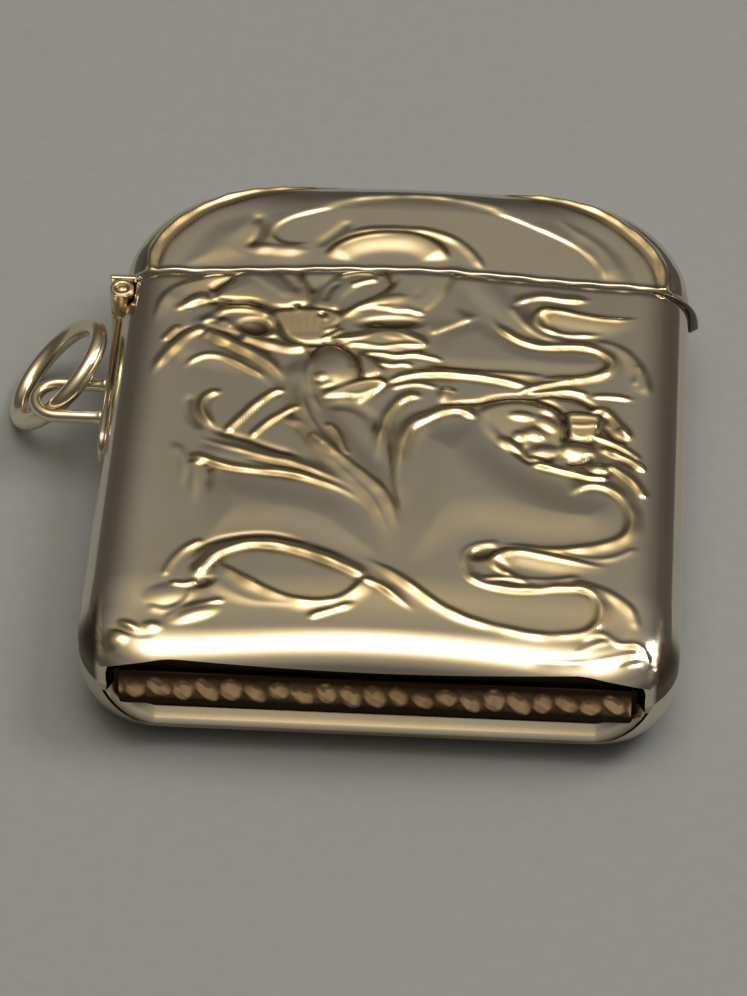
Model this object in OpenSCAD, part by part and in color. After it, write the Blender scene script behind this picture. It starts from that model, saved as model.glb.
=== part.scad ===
// Pocket match safe: a flat case of thin sheet with a side-hinged lid, a striker
// groove in the base and a suspension ring. It lies on its back, front face up:
// X runs across the case, Y towards the lid, Z up out of the front face.

/* [Case] */
// Width of the case across the sides
case_w = 38; // [34:0.5:44]
// Height of the closed case from base to top
case_h = 46; // [42:0.5:54]
// Thickness of the case from back to front
case_t = 9; // [8:0.25:11]
// Radius of the rolled edge between a face and the sides
edge_r = 3.6; // [3.2:0.1:3.8]
// Radius of the two base corners, seen from the front
base_corner_r = 5.2; // [4.6:0.1:7]
// Thickness of the body's sheet
body_wall = 0.5; // [0.4:0.05:0.6]

/* [Lid] */
// Height of the lid above the seam
lid_h = 9.7; // [9.6:0.1:12]
// Radius of the two top corners, seen from the front
top_corner_r = 10.5; // [9.8:0.1:10.6]
// Thickness of the lid's sheet
lid_wall = 0.4; // [0.35:0.05:0.45]
// Gap between the lid's edge and the body's edge
seam_gap = 0.1; // [0.06:0.02:0.2]
// How far the thumb lip stands out beyond the side
lip_reach = 0.7; // [0.6:0.05:0.8]
// Thickness of the thumb lip along the case
lip_t = 0.6; // [0.4:0.1:0.7]
// Radius of the thumb lip's outer curve
lip_r = 4.75; // [4.7:0.05:4.8]

/* [Mouth collar] */
// Thickness of the collar's band
collar_t = 0.35; // [0.25:0.05:0.4]
// Depth of the collar inside the body
collar_in = 4; // [3:0.5:6]
// Height of the collar above the seam
collar_out = 0.6; // [0.4:0.1:0.7]
// Solder gap between the collar and the body's wall
collar_gap = 0.03; // [0.02:0.01:0.05]

/* [Striker] */
// Width of the striker groove
groove_w = 5.1; // [4.6:0.1:5.4]
// Depth of the groove's floor below the base
groove_d = 1.5; // [1.2:0.1:1.8]
// Thickness of the floor plate behind the striker
backing_t = 0.4; // [0.3:0.05:0.5]
// Width of the striker strip
strip_w = 2.8; // [2:0.1:3.2]
// Thickness of the strip under its ribs
strip_t = 0.4; // [0.3:0.05:0.5]
// Distance between neighbouring ribs
rib_pitch = 1.5; // [1.2:0.05:2]
// Radius of a striker rib
rib_r = 0.5; // [0.35:0.05:0.55]

/* [Hinge] */
// Outer radius of the hinge knuckles
knuckle_r = 0.8; // [0.75:0.05:0.85]
// Length of the whole hinge along its axis
hinge_len = 5.8; // [5:0.2:6.4]
// Length of the lid's knuckle
lid_knuckle_len = 1.8; // [1.4:0.1:2.2]
// Gap between neighbouring knuckles
knuckle_gap = 0.1; // [0.06:0.02:0.16]
// Radius of the hinge pin
pin_r = 0.4; // [0.3:0.05:0.45]
// Radial clearance of the pin in the lid's knuckle
pin_clear = 0.03; // [0.02:0.01:0.05]
// Distance of the hinge axis below the seam
hinge_drop = 1.2; // [1.15:0.05:1.3]
// Clearance between a knuckle and the sheet that turns round it
hinge_clear = 0.1; // [0.08:0.02:0.2]
// Thickness of the lid's hinge leaf
leaf_t = 0.45; // [0.35:0.05:0.5]

/* [Leaf spring] */
// Thickness of the spring
spring_t = 0.25; // [0.2:0.05:0.3]
// Width of the spring
spring_w = 1.6; // [1.2:0.1:1.7]
// Length of the spring below the seam
spring_len = 16; // [12:1:20]

/* [Suspension] */
// Distance of the loop's middle below the seam
eye_drop = 9.35; // [9.2:0.05:9.5]
// Radius of the loop's wire
eye_wire_r = 0.42; // [0.38:0.02:0.46]
// Distance between the middles of the loop's two bars
eye_pitch = 3.1; // [3.05:0.05:3.2]
// How far the loop stands out from its plate
eye_reach = 5.05; // [5:0.05:5.1]
// Thickness of the plate that carries the loop
plate_t = 0.45; // [0.35:0.05:0.5]
// Width of that plate
plate_w = 2.4; // [2:0.1:2.5]
// Radius of the ring, to the middle of its wire
ring_r = 3.9; // [3.85:0.05:3.95]
// Radius of the ring's wire
ring_wire_r = 0.62; // [0.58:0.02:0.64]
// Tilt of the ring, its high side leaning towards the case
ring_tilt = 46; // [45:0.5:47]
// Turn of the ring's tilt direction about the vertical
ring_turn = -6; // [-8:1:-4]

/* [Hidden] */
$fn = 96;

base_y = -case_h / 2;
top_y = case_h / 2;
seam_y = top_y - lid_h;
mid_z = case_t / 2;
side_x = case_w / 2;
body_len = case_h - lid_h - seam_gap / 2;
lid_len = lid_h - seam_gap / 2;

hinge_x = -side_x;
hinge_y = seam_y - hinge_drop;
hinge_seat = knuckle_r + hinge_clear;
body_knuckle_len = (hinge_len - lid_knuckle_len) / 2 - knuckle_gap;

lip_z = mid_z - 0.2;
lip_x = side_x + lip_reach - lip_r;

lip_in = edge_r - sqrt(pow(edge_r, 2) - pow(groove_w / 2 + body_wall - mid_z + edge_r, 2)) + 0.1;
rib_count = floor((case_w - 2 * base_corner_r + 4) / rib_pitch);
strip_l = rib_count * rib_pitch + 0.6;

eye_y = seam_y - eye_drop;
plate_x = -side_x - plate_t;
eye_bend_x = plate_x - eye_reach + eye_pitch / 2 + eye_wire_r;
ring_x = plate_x - 3.5;
ring_y = eye_y + 3.6;
ring_z = ring_r * sin(ring_tilt) + ring_wire_r + 0.03;

silver = [0.74, 0.70, 0.62];
dark_silver = [0.45, 0.38, 0.30];
gilt = [0.80, 0.68, 0.42];

// Quarter of a flat ring, in the first quadrant
module edge_arc(r, t) {
    intersection() {
        difference() {
            circle(r);
            circle(r - t);
        }
        square(r);
    }
}

// Sheet profile of one half, from the axis of a corner (x = 0) to the side (x = rc)
module rim_profile(rc, t) {
    translate([0, mid_z - t]) square([rc - edge_r, t]);
    translate([rc - edge_r, mid_z - edge_r]) edge_arc(edge_r, t);
    translate([rc - t, 0]) square([t, mid_z - edge_r]);
}

// Section of one half of the case across its width
module half_section(t) {
    translate([-(side_x - edge_r), mid_z - t]) square([case_w - 2 * edge_r, t]);
    for (side = [0, 1]) mirror([side, 0]) {
        translate([side_x - edge_r, mid_z - edge_r]) edge_arc(edge_r, t);
        translate([side_x - t, 0]) square([t, mid_z - edge_r]);
    }
}

// Whole section of the case, drawn in by inset on every side
module rounded_section(inset) {
    w = case_w - 2 * edge_r;
    h = case_t - 2 * edge_r;
    r = edge_r - inset;
    square([w + 2 * r, h], center = true);
    square([w, h + 2 * r], center = true);
    for (sx = [-1, 1], sz = [-1, 1]) translate([sx * w / 2, sz * h / 2]) circle(r);
}

// One half of a sheet box: closed end at y = 0, open mouth at y = len, split line at z = 0
module half_shell(len, rc, t) {
    translate([0, len, 0]) rotate([90, 0, 0]) linear_extrude(len - rc) half_section(t);
    translate([-(side_x - rc), rc, 0]) rotate([90, 0, 90])
        linear_extrude(case_w - 2 * rc) mirror([1, 0]) rim_profile(rc, t);
    translate([side_x - rc, rc, 0]) rotate([0, 0, -90])
        rotate_extrude(angle = 90) rim_profile(rc, t);
    translate([-(side_x - rc), rc, 0]) rotate([0, 0, 180])
        rotate_extrude(angle = 90) rim_profile(rc, t);
}

// Opening for the hinge in the sheet, below and above the hinge's axis
module hinge_notch(below, above) {
    translate([-side_x - 1, hinge_y - below, mid_z - hinge_len / 2])
        cube([1 + hinge_seat, below + above, hinge_len]);
}

// Body half with the groove's slot, its turned-in lip and the hinge notch
module body_half() {
    lip_l = case_w - 2 * base_corner_r + 1;
    difference() {
        union() {
            difference() {
                half_shell(body_len, base_corner_r, body_wall);
                translate([-side_x, -1, -1]) cube([case_w, 1 + groove_d, 1 + groove_w / 2]);
            }
            translate([-lip_l / 2, lip_in, groove_w / 2])
                cube([lip_l, groove_d + backing_t - lip_in, body_wall]);
        }
        translate([0, -base_y, -mid_z]) {
            hinge_notch(hinge_seat, 2);
            translate([hinge_x, hinge_y, mid_z - lid_knuckle_len / 2 - knuckle_gap])
                cylinder(r = hinge_seat + 0.1, h = lid_knuckle_len + 2 * knuckle_gap);
        }
    }
}

// Lid half, its corners' curve cut off at the seam, with the hinge notch
module lid_half() {
    full_len = max(lid_len, top_corner_r + 0.5);
    difference() {
        translate([0, top_y, 0]) mirror([0, 1, 0]) half_shell(full_len, top_corner_r, lid_wall);
        translate([-side_x - 1, seam_y + seam_gap / 2 - 4, -1]) cube([case_w + 2, 4, mid_z + 2]);
        translate([0, 0, -mid_z]) hinge_notch(1, hinge_seat + leaf_t);
    }
}

module body_front() {
    color(silver) translate([0, base_y, mid_z]) body_half();
}

module body_back() {
    color(silver) translate([0, base_y, mid_z]) mirror([0, 0, 1]) body_half();
}

// Band that follows the inside of the mouth, open on the hinge side
module mouth_collar() {
    inset = body_wall + collar_gap;
    color(silver) difference() {
        translate([0, seam_y + collar_out, mid_z]) rotate([90, 0, 0])
            linear_extrude(collar_in + collar_out) difference() {
                rounded_section(inset);
                rounded_section(inset + collar_t);
            }
        translate([-side_x - 1, seam_y - collar_in - 1, mid_z - hinge_len / 2 - 0.2])
            cube([3, collar_in + collar_out + 2, hinge_len + 0.4]);
    }
}

module striker_backing() {
    plate_l = case_w - 2 * base_corner_r + 3.4;
    color(dark_silver) translate([-plate_l / 2, base_y + groove_d, mid_z - groove_w / 2 + 0.02])
        cube([plate_l, backing_t, groove_w - 0.04]);
}

// Flat strip with a row of half-round ribs across it
module striker_strip() {
    color(dark_silver) translate([0, base_y + groove_d - strip_t, mid_z - strip_w / 2])
        linear_extrude(strip_w) {
            translate([-strip_l / 2, 0]) square([strip_l, strip_t]);
            for (i = [0:rib_count - 1]) translate([(i - (rib_count - 1) / 2) * rib_pitch, 0.05])
                intersection() {
                    circle(rib_r);
                    translate([-1, -1]) square([2, 1.1]);
                }
        }
}

// One knuckle with a flat saddle on the side given by dir (1 = lid side, -1 = body side)
module knuckle(len, bore, dir) {
    difference() {
        union() {
            cylinder(r = knuckle_r, h = len);
            translate([-0.45, dir > 0 ? 0 : -hinge_seat, 0]) cube([0.9, hinge_seat, len]);
        }
        translate([0, 0, -1]) cylinder(r = bore, h = len + 2);
    }
}

module body_knuckles() {
    color(gilt) for (z = [mid_z - hinge_len / 2, mid_z + hinge_len / 2 - body_knuckle_len])
        translate([hinge_x, hinge_y, z]) knuckle(body_knuckle_len, pin_r + 0.01, -1);
}

module lid_knuckle() {
    color(gilt) translate([hinge_x, hinge_y, mid_z - lid_knuckle_len / 2])
        knuckle(lid_knuckle_len, pin_r + pin_clear, 1);
}

module hinge_pin() {
    color(dark_silver) translate([hinge_x, hinge_y, mid_z - hinge_len / 2])
        cylinder(r = pin_r, h = hinge_len);
}

// Plate over the knuckles that closes the lid's notch
module lid_hinge_leaf() {
    color(gilt) translate([hinge_x - hinge_seat, hinge_y + hinge_seat, mid_z - hinge_len / 2 + 0.02])
        cube([2 * hinge_seat - 0.02, leaf_t, hinge_len - 0.04]);
}

// Flat spring along the hinge-side wall, its end bent in to bear on the lid's knuckle
module leaf_spring() {
    foot_x = -side_x + body_wall;
    tip_x = hinge_x + knuckle_r + 0.04;
    bend_y = seam_y - spring_len * 0.6;
    color(dark_silver) translate([0, 0, mid_z - spring_w / 2]) linear_extrude(spring_w)
        polygon([
            [foot_x, seam_y - spring_len], [foot_x + spring_t, seam_y - spring_len],
            [foot_x + spring_t, bend_y], [tip_x + spring_t, hinge_y - 1.4],
            [tip_x + spring_t, hinge_y + 0.5], [tip_x, hinge_y + 0.5],
            [tip_x, hinge_y - 1.4], [foot_x, bend_y]
        ]);
}

// Strap on the hinge-side wall, its lower end rounded
module loop_plate() {
    top = hinge_y - hinge_seat - 0.35;
    low = eye_y - 4;
    color(gilt) translate([-side_x, 0, mid_z]) rotate([0, -90, 0]) linear_extrude(plate_t) {
        translate([-plate_w / 2, low]) square([plate_w, top - low]);
        intersection() {
            translate([0, low]) circle(plate_w / 2);
            translate([-plate_w, low - plate_w]) square([2 * plate_w, plate_w]);
        }
    }
}

// Wire loop: two straight bars joined by a half turn
module loop_eye() {
    bar_l = plate_x - eye_bend_x;
    color(gilt) translate([eye_bend_x, eye_y, mid_z]) {
        for (s = [-1, 1]) translate([0, s * eye_pitch / 2, 0]) rotate([0, 90, 0])
            cylinder(r = eye_wire_r, h = bar_l);
        rotate([0, 0, 90]) rotate_extrude(angle = 180)
            translate([eye_pitch / 2, 0]) circle(eye_wire_r);
    }
}

module lid_front() {
    color(silver) translate([0, 0, mid_z]) lid_half();
}

module lid_back() {
    color(silver) translate([0, 0, mid_z]) mirror([0, 0, 1]) lid_half();
}

// Crescent flange on the opening side of the lid's front half
module thumb_lip() {
    color(silver) translate([0, seam_y + seam_gap / 2 + lip_t, mid_z]) rotate([90, 0, 0])
        linear_extrude(lip_t) difference() {
            intersection() {
                translate([lip_x, lip_z - mid_z]) circle(lip_r);
                translate([side_x - edge_r + 1.2, 0]) square([edge_r + 3, mid_z]);
            }
            translate([side_x - edge_r, mid_z - edge_r]) circle(edge_r + 0.01);
            translate([0, -1]) square([side_x + 0.01, mid_z - edge_r + 1]);
        }
}

module suspension_ring() {
    color(silver) translate([ring_x, ring_y, ring_z]) rotate([0, 0, ring_turn])
        rotate([0, -ring_tilt, 0]) rotate_extrude() translate([ring_r, 0]) circle(ring_wire_r);
}

body_front();
body_back();
mouth_collar();
striker_backing();
striker_strip();
body_knuckles();
hinge_pin();
leaf_spring();
loop_plate();
loop_eye();
lid_front();
lid_back();
lid_hinge_leaf();
lid_knuckle();
thumb_lip();
suspension_ring();
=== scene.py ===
# %% [markdown]
# # A pocket match safe in worked silver
# The object is a flat case for matches: two thin silver shells soldered along the sides, a lid on a
# side hinge, a ribbed striker in the base and a ring for a watch chain. The measured model already
# exists, so the first step loads it as a fixed frame. A scene could also start from an empty file,
# but then every size would have to be fitted again by eye.

# %% Load the measured model
import math

import bmesh
import bpy
import numpy as np
from mathutils import Matrix, Vector


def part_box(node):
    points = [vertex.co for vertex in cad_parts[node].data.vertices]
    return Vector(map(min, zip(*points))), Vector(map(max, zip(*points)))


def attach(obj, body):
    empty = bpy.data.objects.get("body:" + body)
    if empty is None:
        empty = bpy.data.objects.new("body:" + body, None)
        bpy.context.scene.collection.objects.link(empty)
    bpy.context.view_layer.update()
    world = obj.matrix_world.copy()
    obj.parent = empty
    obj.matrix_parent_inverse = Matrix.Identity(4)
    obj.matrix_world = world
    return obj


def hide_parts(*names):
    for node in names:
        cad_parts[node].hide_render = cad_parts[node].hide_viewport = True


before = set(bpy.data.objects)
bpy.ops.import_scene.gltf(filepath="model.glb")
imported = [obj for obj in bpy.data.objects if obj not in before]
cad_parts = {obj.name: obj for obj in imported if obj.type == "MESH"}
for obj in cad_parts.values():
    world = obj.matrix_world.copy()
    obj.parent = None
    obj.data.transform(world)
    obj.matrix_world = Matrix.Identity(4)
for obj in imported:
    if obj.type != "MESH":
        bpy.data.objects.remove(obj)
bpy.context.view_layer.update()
MM = 0.001
scene = bpy.context.scene
print("nodes in the frame:", len(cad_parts))


def box_mm(node):
    """The lowest and highest corner of a measured node, in millimetres."""
    low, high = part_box(node)
    return np.array(low) / MM, np.array(high) / MM


# %% [markdown]
# ## Driving sizes
# A maker starts from a few sizes: how wide, how long, how thick, where the seam runs. They are read
# from the frame, so the scene follows when the measured model changes. Only the sheet's details,
# such as how deep the ground lies under the highest ornament, are chosen here.

# %% Sizes of the case in millimetres
body_low, body_high = box_mm("body_front")
lid_low, lid_high = box_mm("lid_front")
SIDE_X = body_high[0]
MOUTH_Y = body_high[1]
LID_Y, TOP_Y = lid_low[1], lid_high[1]
BASE_Y = -TOP_Y
FACE_Z, SPLIT_Z = body_high[2], body_low[2]
ROLL = 3.6
ROLL_Z = FACE_Z - ROLL
WALL = 0.35
GROUND_SIDE, GROUND_MIDDLE = 7.85, 8.62
BASE_CORNER, TOP_CORNER = 5.2, TOP_Y - LID_Y - 0.35
FLAT_X = SIDE_X - ROLL
print(f"case {2 * SIDE_X:.1f} x {TOP_Y - BASE_Y:.1f} mm, seam at {MOUTH_Y:.2f}")

# %% [markdown]
# ## Camera
# The view looks down on the case from the base side with a long lens, so that the far end hardly
# shrinks. The three directions of the view are worked out from two angles and set as one matrix; a
# Track To constraint would do the same, but it leaves no place for the small roll.

# %% Camera
VIEW_AZ, VIEW_EL, VIEW_ROLL = math.radians(3.6), math.radians(44.5), math.radians(-0.2)
VIEW_DISTANCE, VIEW_TARGET = 0.34, Vector((-1.14, -4.1, 4.5)) * MM
FOCAL_PX, PICTURE_PX, SENSOR = 5230, 996, 36

back = Vector((math.sin(VIEW_AZ) * math.cos(VIEW_EL),
               -math.cos(VIEW_AZ) * math.cos(VIEW_EL), math.sin(VIEW_EL)))
level = Vector((math.cos(VIEW_AZ), math.sin(VIEW_AZ), 0))
upward = back.cross(level)
right = math.cos(VIEW_ROLL) * level + math.sin(VIEW_ROLL) * upward
upward = back.cross(right)
camera = bpy.data.objects.new("camera", bpy.data.cameras.new("camera"))
camera.data.lens, camera.data.sensor_width = FOCAL_PX * SENSOR / PICTURE_PX, SENSOR
camera.data.clip_start, camera.data.clip_end = 0.01, 20
place = VIEW_TARGET + back * VIEW_DISTANCE
turn = Matrix((right, upward, back)).transposed().to_4x4()
camera.matrix_world = Matrix.Translation(place) @ turn
scene.collection.objects.link(camera)
scene.camera = camera
scene.view_settings.view_transform = "Standard"
print("camera stands at", tuple(round(v, 3) for v in place))

# %% [markdown]
# ## Writing a finish as arithmetic
# A finish is a small graph of nodes. Linking nodes one by one hides the idea, so one small class
# wraps a socket: adding or multiplying two wrapped sockets adds the Math node for it, and any other
# node comes from one method. Colours are mixed with a Mix node, since a Math node would grey them.


# %% Node arithmetic
class Wire:
    """An output socket of a node tree on which Python arithmetic adds Math nodes."""

    def __init__(self, tree, socket=None):
        self.tree, self.socket = tree, socket

    def node(self, kind, settings=None, inputs=None, out=0):
        made = self.tree.nodes.new(kind)
        for name, value in (settings or {}).items():
            if name == "stops":
                ramp = made.color_ramp
                while len(ramp.elements) < len(value):
                    ramp.elements.new(0.5)
                for element, (at, colour) in zip(ramp.elements, value):
                    element.position, element.color = at, (*colour, 1)
            else:
                setattr(made, name, value)
        for key, value in (inputs or {}).items():
            if isinstance(value, Wire):
                self.tree.links.new(value.socket, made.inputs[key])
            else:
                made.inputs[key].default_value = value
        return Wire(self.tree, made.outputs[out])

    def maths(self, operation, first, second):
        return self.node("ShaderNodeMath", {"operation": operation}, {0: first, 1: second})

    def __add__(self, other):
        return self.maths("ADD", self, other)

    def __sub__(self, other):
        return self.maths("SUBTRACT", self, other)

    def __rsub__(self, other):
        return self.maths("SUBTRACT", other, self)

    def __mul__(self, other):
        return self.maths("MULTIPLY", self, other)

    __radd__, __rmul__ = __add__, __mul__

    def mix(self, first, second):
        """The first colour where this wire is 0, the second where it is 1."""
        first, second = (c if isinstance(c, Wire) else (*c, 1) for c in (first, second))
        return self.node("ShaderNodeMix", {"data_type": "RGBA"},
                         {0: self, 6: first, 7: second}, 2)

    def between(self, low, high):
        """0 up to low, 1 from high, and a smooth rise from one to the other."""
        return self.node("ShaderNodeMapRange", {"interpolation_type": "SMOOTHSTEP"},
                         {0: self, 1: low, 2: high})


print("wires can be added, subtracted and multiplied")


# %% Helpers for finishes
def new_finish(name):
    """An empty material with its main shader, its tree and its object coordinates."""
    made = bpy.data.materials.new(name)
    made.use_nodes = True
    tree = made.node_tree
    tools = Wire(tree)
    place = tools.node("ShaderNodeTexCoord", out=3)
    return made, tree.nodes["Principled BSDF"], tools, place


def feed(shader, **values):
    """Links wires, or sets plain values, on the shader's sockets."""
    for name, value in values.items():
        socket = shader.inputs[name.replace("_", " ")]
        if isinstance(value, Wire):
            value.tree.links.new(value.socket, socket)
        else:
            socket.default_value = value


def noise(tools, place, scale, detail=3.0, rough=0.5, stretch=None):
    """Cloudy noise; stretch squeezes the coordinates, for streaks."""
    if stretch:
        place = tools.node("ShaderNodeVectorMath", {"operation": "MULTIPLY"},
                           {0: place, 1: stretch})
    return tools.node("ShaderNodeTexNoise", {"noise_dimensions": "3D"},
                      {"Vector": place, "Scale": scale, "Detail": detail, "Roughness": rough})


print("node helpers ready")

# %% [markdown]
# ## The room that the silver reflects
# Silver shows the room more than itself, so the room is drawn first. It is a soft gradient that runs
# from dark at the horizon to a small bright ceiling overhead. The flat face then mirrors a middle
# tone, what leans a little towards the viewer turns golden and white, and what leans away turns dark.
# Area lamps alone could light the case, but they would leave black gaps between them in the metal.

# %% World
world = bpy.data.worlds.new("soft_room")
scene.world = world
world.use_nodes = True
room = Wire(world.node_tree)
way = room.node("ShaderNodeTexCoord", out=0)
CEILING_AT = (0, 0.07, 0.998)
towards_light = room.node("ShaderNodeVectorMath", {"operation": "DOT_PRODUCT"},
                          {0: way, 1: CEILING_AT}, 1)
LOWEST = -0.35
ROOM = [(LOWEST, (0.1, 0.1, 0.098)), (0.07, (0.1, 0.096, 0.088)), (0.326, (0.085, 0.078, 0.066)),
        (0.485, (0.1, 0.09, 0.076)), (0.616, (0.165, 0.15, 0.128)), (0.695, (0.235, 0.217, 0.186)),
        (0.749, (0.295, 0.272, 0.23)), (0.839, (0.44, 0.375, 0.265)), (0.891, (0.8, 0.66, 0.42)),
        (0.94, (1.5, 1.32, 0.98)), (0.97, (2.3, 2.2, 2.0)), (1.0, (2.5, 2.45, 2.35))]
SPAN, BRIGHTNESS = 1 - LOWEST, 2.0
stops = [((t - LOWEST) / SPAN, tuple(c / BRIGHTNESS for c in colour)) for t, colour in ROOM]
shade = room.node("ShaderNodeValToRGB", {"stops": stops}, {0: (towards_light - LOWEST) * (1 / SPAN)})
backdrop = world.node_tree.nodes["Background"]
world.node_tree.links.new(shade.socket, backdrop.inputs["Color"])
backdrop.inputs["Strength"].default_value = BRIGHTNESS
print("room gradient of", len(ROOM), "tones")

# %% [markdown]
# ### One lamp
# The room alone gives light without a direction. One square panel, high up on the right, adds the
# glints on the edges and a soft shadow. A point lamp would do that too, but silver would mirror it as
# a hard dot.


# %% Key light
def panel(name, place, aim, size, radiance, colour):
    """A soft rectangular light of a given brightness, aimed at a point."""
    light = bpy.data.lights.new(name, "AREA")
    light.shape, light.size, light.size_y = "RECTANGLE", *size
    light.energy = radiance * math.pi * size[0] * size[1]
    light.color = colour
    made = bpy.data.objects.new(name, light)
    made.location = place
    made.rotation_euler = (Vector(aim) - Vector(place)).to_track_quat("-Z", "Y").to_euler()
    scene.collection.objects.link(made)
    return made


panel("key_panel", place=(0.55, 0.2, 0.7), aim=(0, 0, 0), size=(0.4, 0.4), radiance=5.0,
      colour=(1.0, 0.96, 0.9))

# %% [markdown]
# ## Floor
# A plain sheet of pale grey board. It only has to take the soft shadow and to show faintly in the
# case's sides, so one large face with a fine fibre grain is enough.

# %% Floor
board, shader, tools, at = new_finish("floor_board")
fibres = noise(tools, at, 900, 5)
BOARD_DARK, BOARD_PALE = (0.325, 0.345, 0.36), (0.37, 0.39, 0.405)
feed(shader, Base_Color=fibres.mix(BOARD_DARK, BOARD_PALE), Roughness=0.8)
FLOOR_HALF = 1.6
floor_mesh = bpy.data.meshes.new("floor")
floor_mesh.from_pydata([(x * FLOOR_HALF, y * FLOOR_HALF, 0)
                        for x, y in ((-1, -1), (1, -1), (1, 1), (-1, 1))], [], [(0, 1, 2, 3)])
floor = bpy.data.objects.new("floor", floor_mesh)
floor_mesh.materials.append(board)
scene.collection.objects.link(floor)
print("floor laid")

# %% [markdown]
# ## Finishes
# Old silver is bright where hands polish it and brown where polish can't reach. Two masks are stored
# on the worked shells when they are made: one darkens the recesses, partly as brown patina and partly
# as painted shade, and the other tints the ground close to the ornament with a painted golden
# reflection. Slow clouds of noise vary the tarnish and long thin streaks give the fine scratches of a
# pocket piece. A painted picture could do the same, but it would need a fixed unwrapping and would not
# follow a change of the ornament.

# %% Silver finishes
# Colours of the painted golden reflection and of the recess patina with painted shade.
GOLD_REFLECTION_COLOUR, PATINA_AND_SHADE_COLOUR = (0.84, 0.66, 0.37), (0.045, 0.028, 0.014)


def silver(name, bright, tarnish, rough, scratch=0.35):
    """Worn silver: bright metal, tarnish clouds, recess patina with painted shade, painted golden
    reflection, scratches.
    """
    made, shader, tools, at = new_finish(name)
    hollow = tools.node("ShaderNodeAttribute", {"attribute_name": "hollow"}, out=2)
    warm = tools.node("ShaderNodeAttribute", {"attribute_name": "warm"}, out=2)
    clouds = noise(tools, at, 160, 4, 0.6).between(0.35, 0.75)
    spots = noise(tools, at, 900, 3, 0.6).between(0.55, 0.8)
    scores = noise(tools, at, 2600, 2, 0.6, (1, 0.06, 1))
    colour = (clouds * 0.55 + spots * 0.2).mix(bright, tarnish)
    # A painted golden reflection near the ornament, then recess patina with painted shade.
    colour = (warm * 0.65).mix(colour, GOLD_REFLECTION_COLOUR)
    colour = hollow.mix(colour, PATINA_AND_SHADE_COLOUR)
    grain = noise(tools, at, 5200, 3, 0.7)
    bump = tools.node("ShaderNodeBump", None, {
        "Strength": scratch, "Distance": 0.00002, "Height": scores * 0.6 + grain * 0.4})
    feed(shader, Base_Color=colour, Metallic=1.0, Normal=bump,
         Roughness=hollow * 0.3 + clouds * 0.07 + scores * 0.06 + rough)
    return made


SHEET = silver("worked_silver", (0.74, 0.69, 0.59), (0.66, 0.58, 0.45), 0.065, 0.22)
INNER = silver("inner_silver", (0.66, 0.58, 0.45), (0.45, 0.34, 0.2), 0.28)
WIRE_SILVER = silver("wire_silver", (0.86, 0.78, 0.62), (0.74, 0.60, 0.36), 0.13, 0.2)
HINGE_SILVER = silver("hinge_silver", (0.80, 0.66, 0.42), (0.46, 0.33, 0.17), 0.2)
STRIKER = silver("striker_silver", (0.88, 0.56, 0.31), (0.4, 0.21, 0.11), 0.16)
# A near-black finish that stands for painted shade deep in the striker's slot.
SLOT_PAINTED_SHADE = silver("slot_painted_shade", (0.035, 0.022, 0.014), (0.02, 0.013, 0.009), 0.45)
SPRING = silver("spring_steel", (0.36, 0.35, 0.34), (0.2, 0.18, 0.16), 0.3)
print("finishes:", len(bpy.data.materials))

# %% [markdown]
# ## Drawing the ornament as a height map
# The ornament is pressed and chased sheet: edges, petals and domes of a few tenths of a millimetre.
# It could be sculpted by hand or carved with curves and booleans. A height map is simpler and exact:
# a fine raster over the face on which strokes add height, much as a chaser's punches do. The control
# points below are given in millimetres from the middle of the face. The lid and the body
# have a map each, because the ornament of one stops at the seam.

# %% Raster
RASTER = 0.06
HALF_WIDE, HALF_TALL = 18.0, 24.0
map_x = np.arange(-HALF_WIDE, HALF_WIDE, RASTER)
map_y = np.arange(-HALF_TALL, HALF_TALL, RASTER)
grid_x, grid_y = np.meshgrid(map_x, map_y)
maps = {"lid": np.zeros_like(grid_x), "body": np.zeros_like(grid_x)}
relief = maps["lid"]
RELIEF_SCALE = 1.25
strokes = []
# Masks for patches of painted shade and of painted golden reflection.
painted_shade_patches, painted_gold_patches = np.zeros_like(grid_x), np.zeros_like(grid_x)
print("raster:", *grid_x.shape)

# %% [markdown]
# ### Lines and distances
# Every stroke starts from a few given points. A smooth curve is laid through them, and for each
# spot of the raster near it the distance, the side and the place along the curve are found. Blender's
# own curves could draw the line, but they don't tell how far a spot lies from it.


# %% Curves
def smooth_line(points, closed=False, step=0.22):
    """Points on a smooth curve through given points."""
    p = np.array(points, float)
    if closed:
        ends = np.vstack([p[-1:], p, p[:2]])
    else:
        ends = np.vstack([2 * p[0] - p[1], p, 2 * p[-1] - p[-2]])
    parts = []
    for a, b, c, d in zip(ends, ends[1:], ends[2:], ends[3:]):
        count = max(2, int(np.linalg.norm(c - b) / step))
        t = np.linspace(0, 1, count, endpoint=False)[:, None]
        parts.append(b + t * (c - a) / 2 + t ** 2 * (a - 2.5 * b + 2 * c - d / 2)
                     + t ** 3 * (1.5 * b - a / 2 - 1.5 * c + d / 2))
    parts.append(p[:1] if closed else p[-1:])
    return np.vstack(parts)


print("curve through 3 points:", len(smooth_line([(0, 0), (1, 1), (2, 0)])), "spots")


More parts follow.
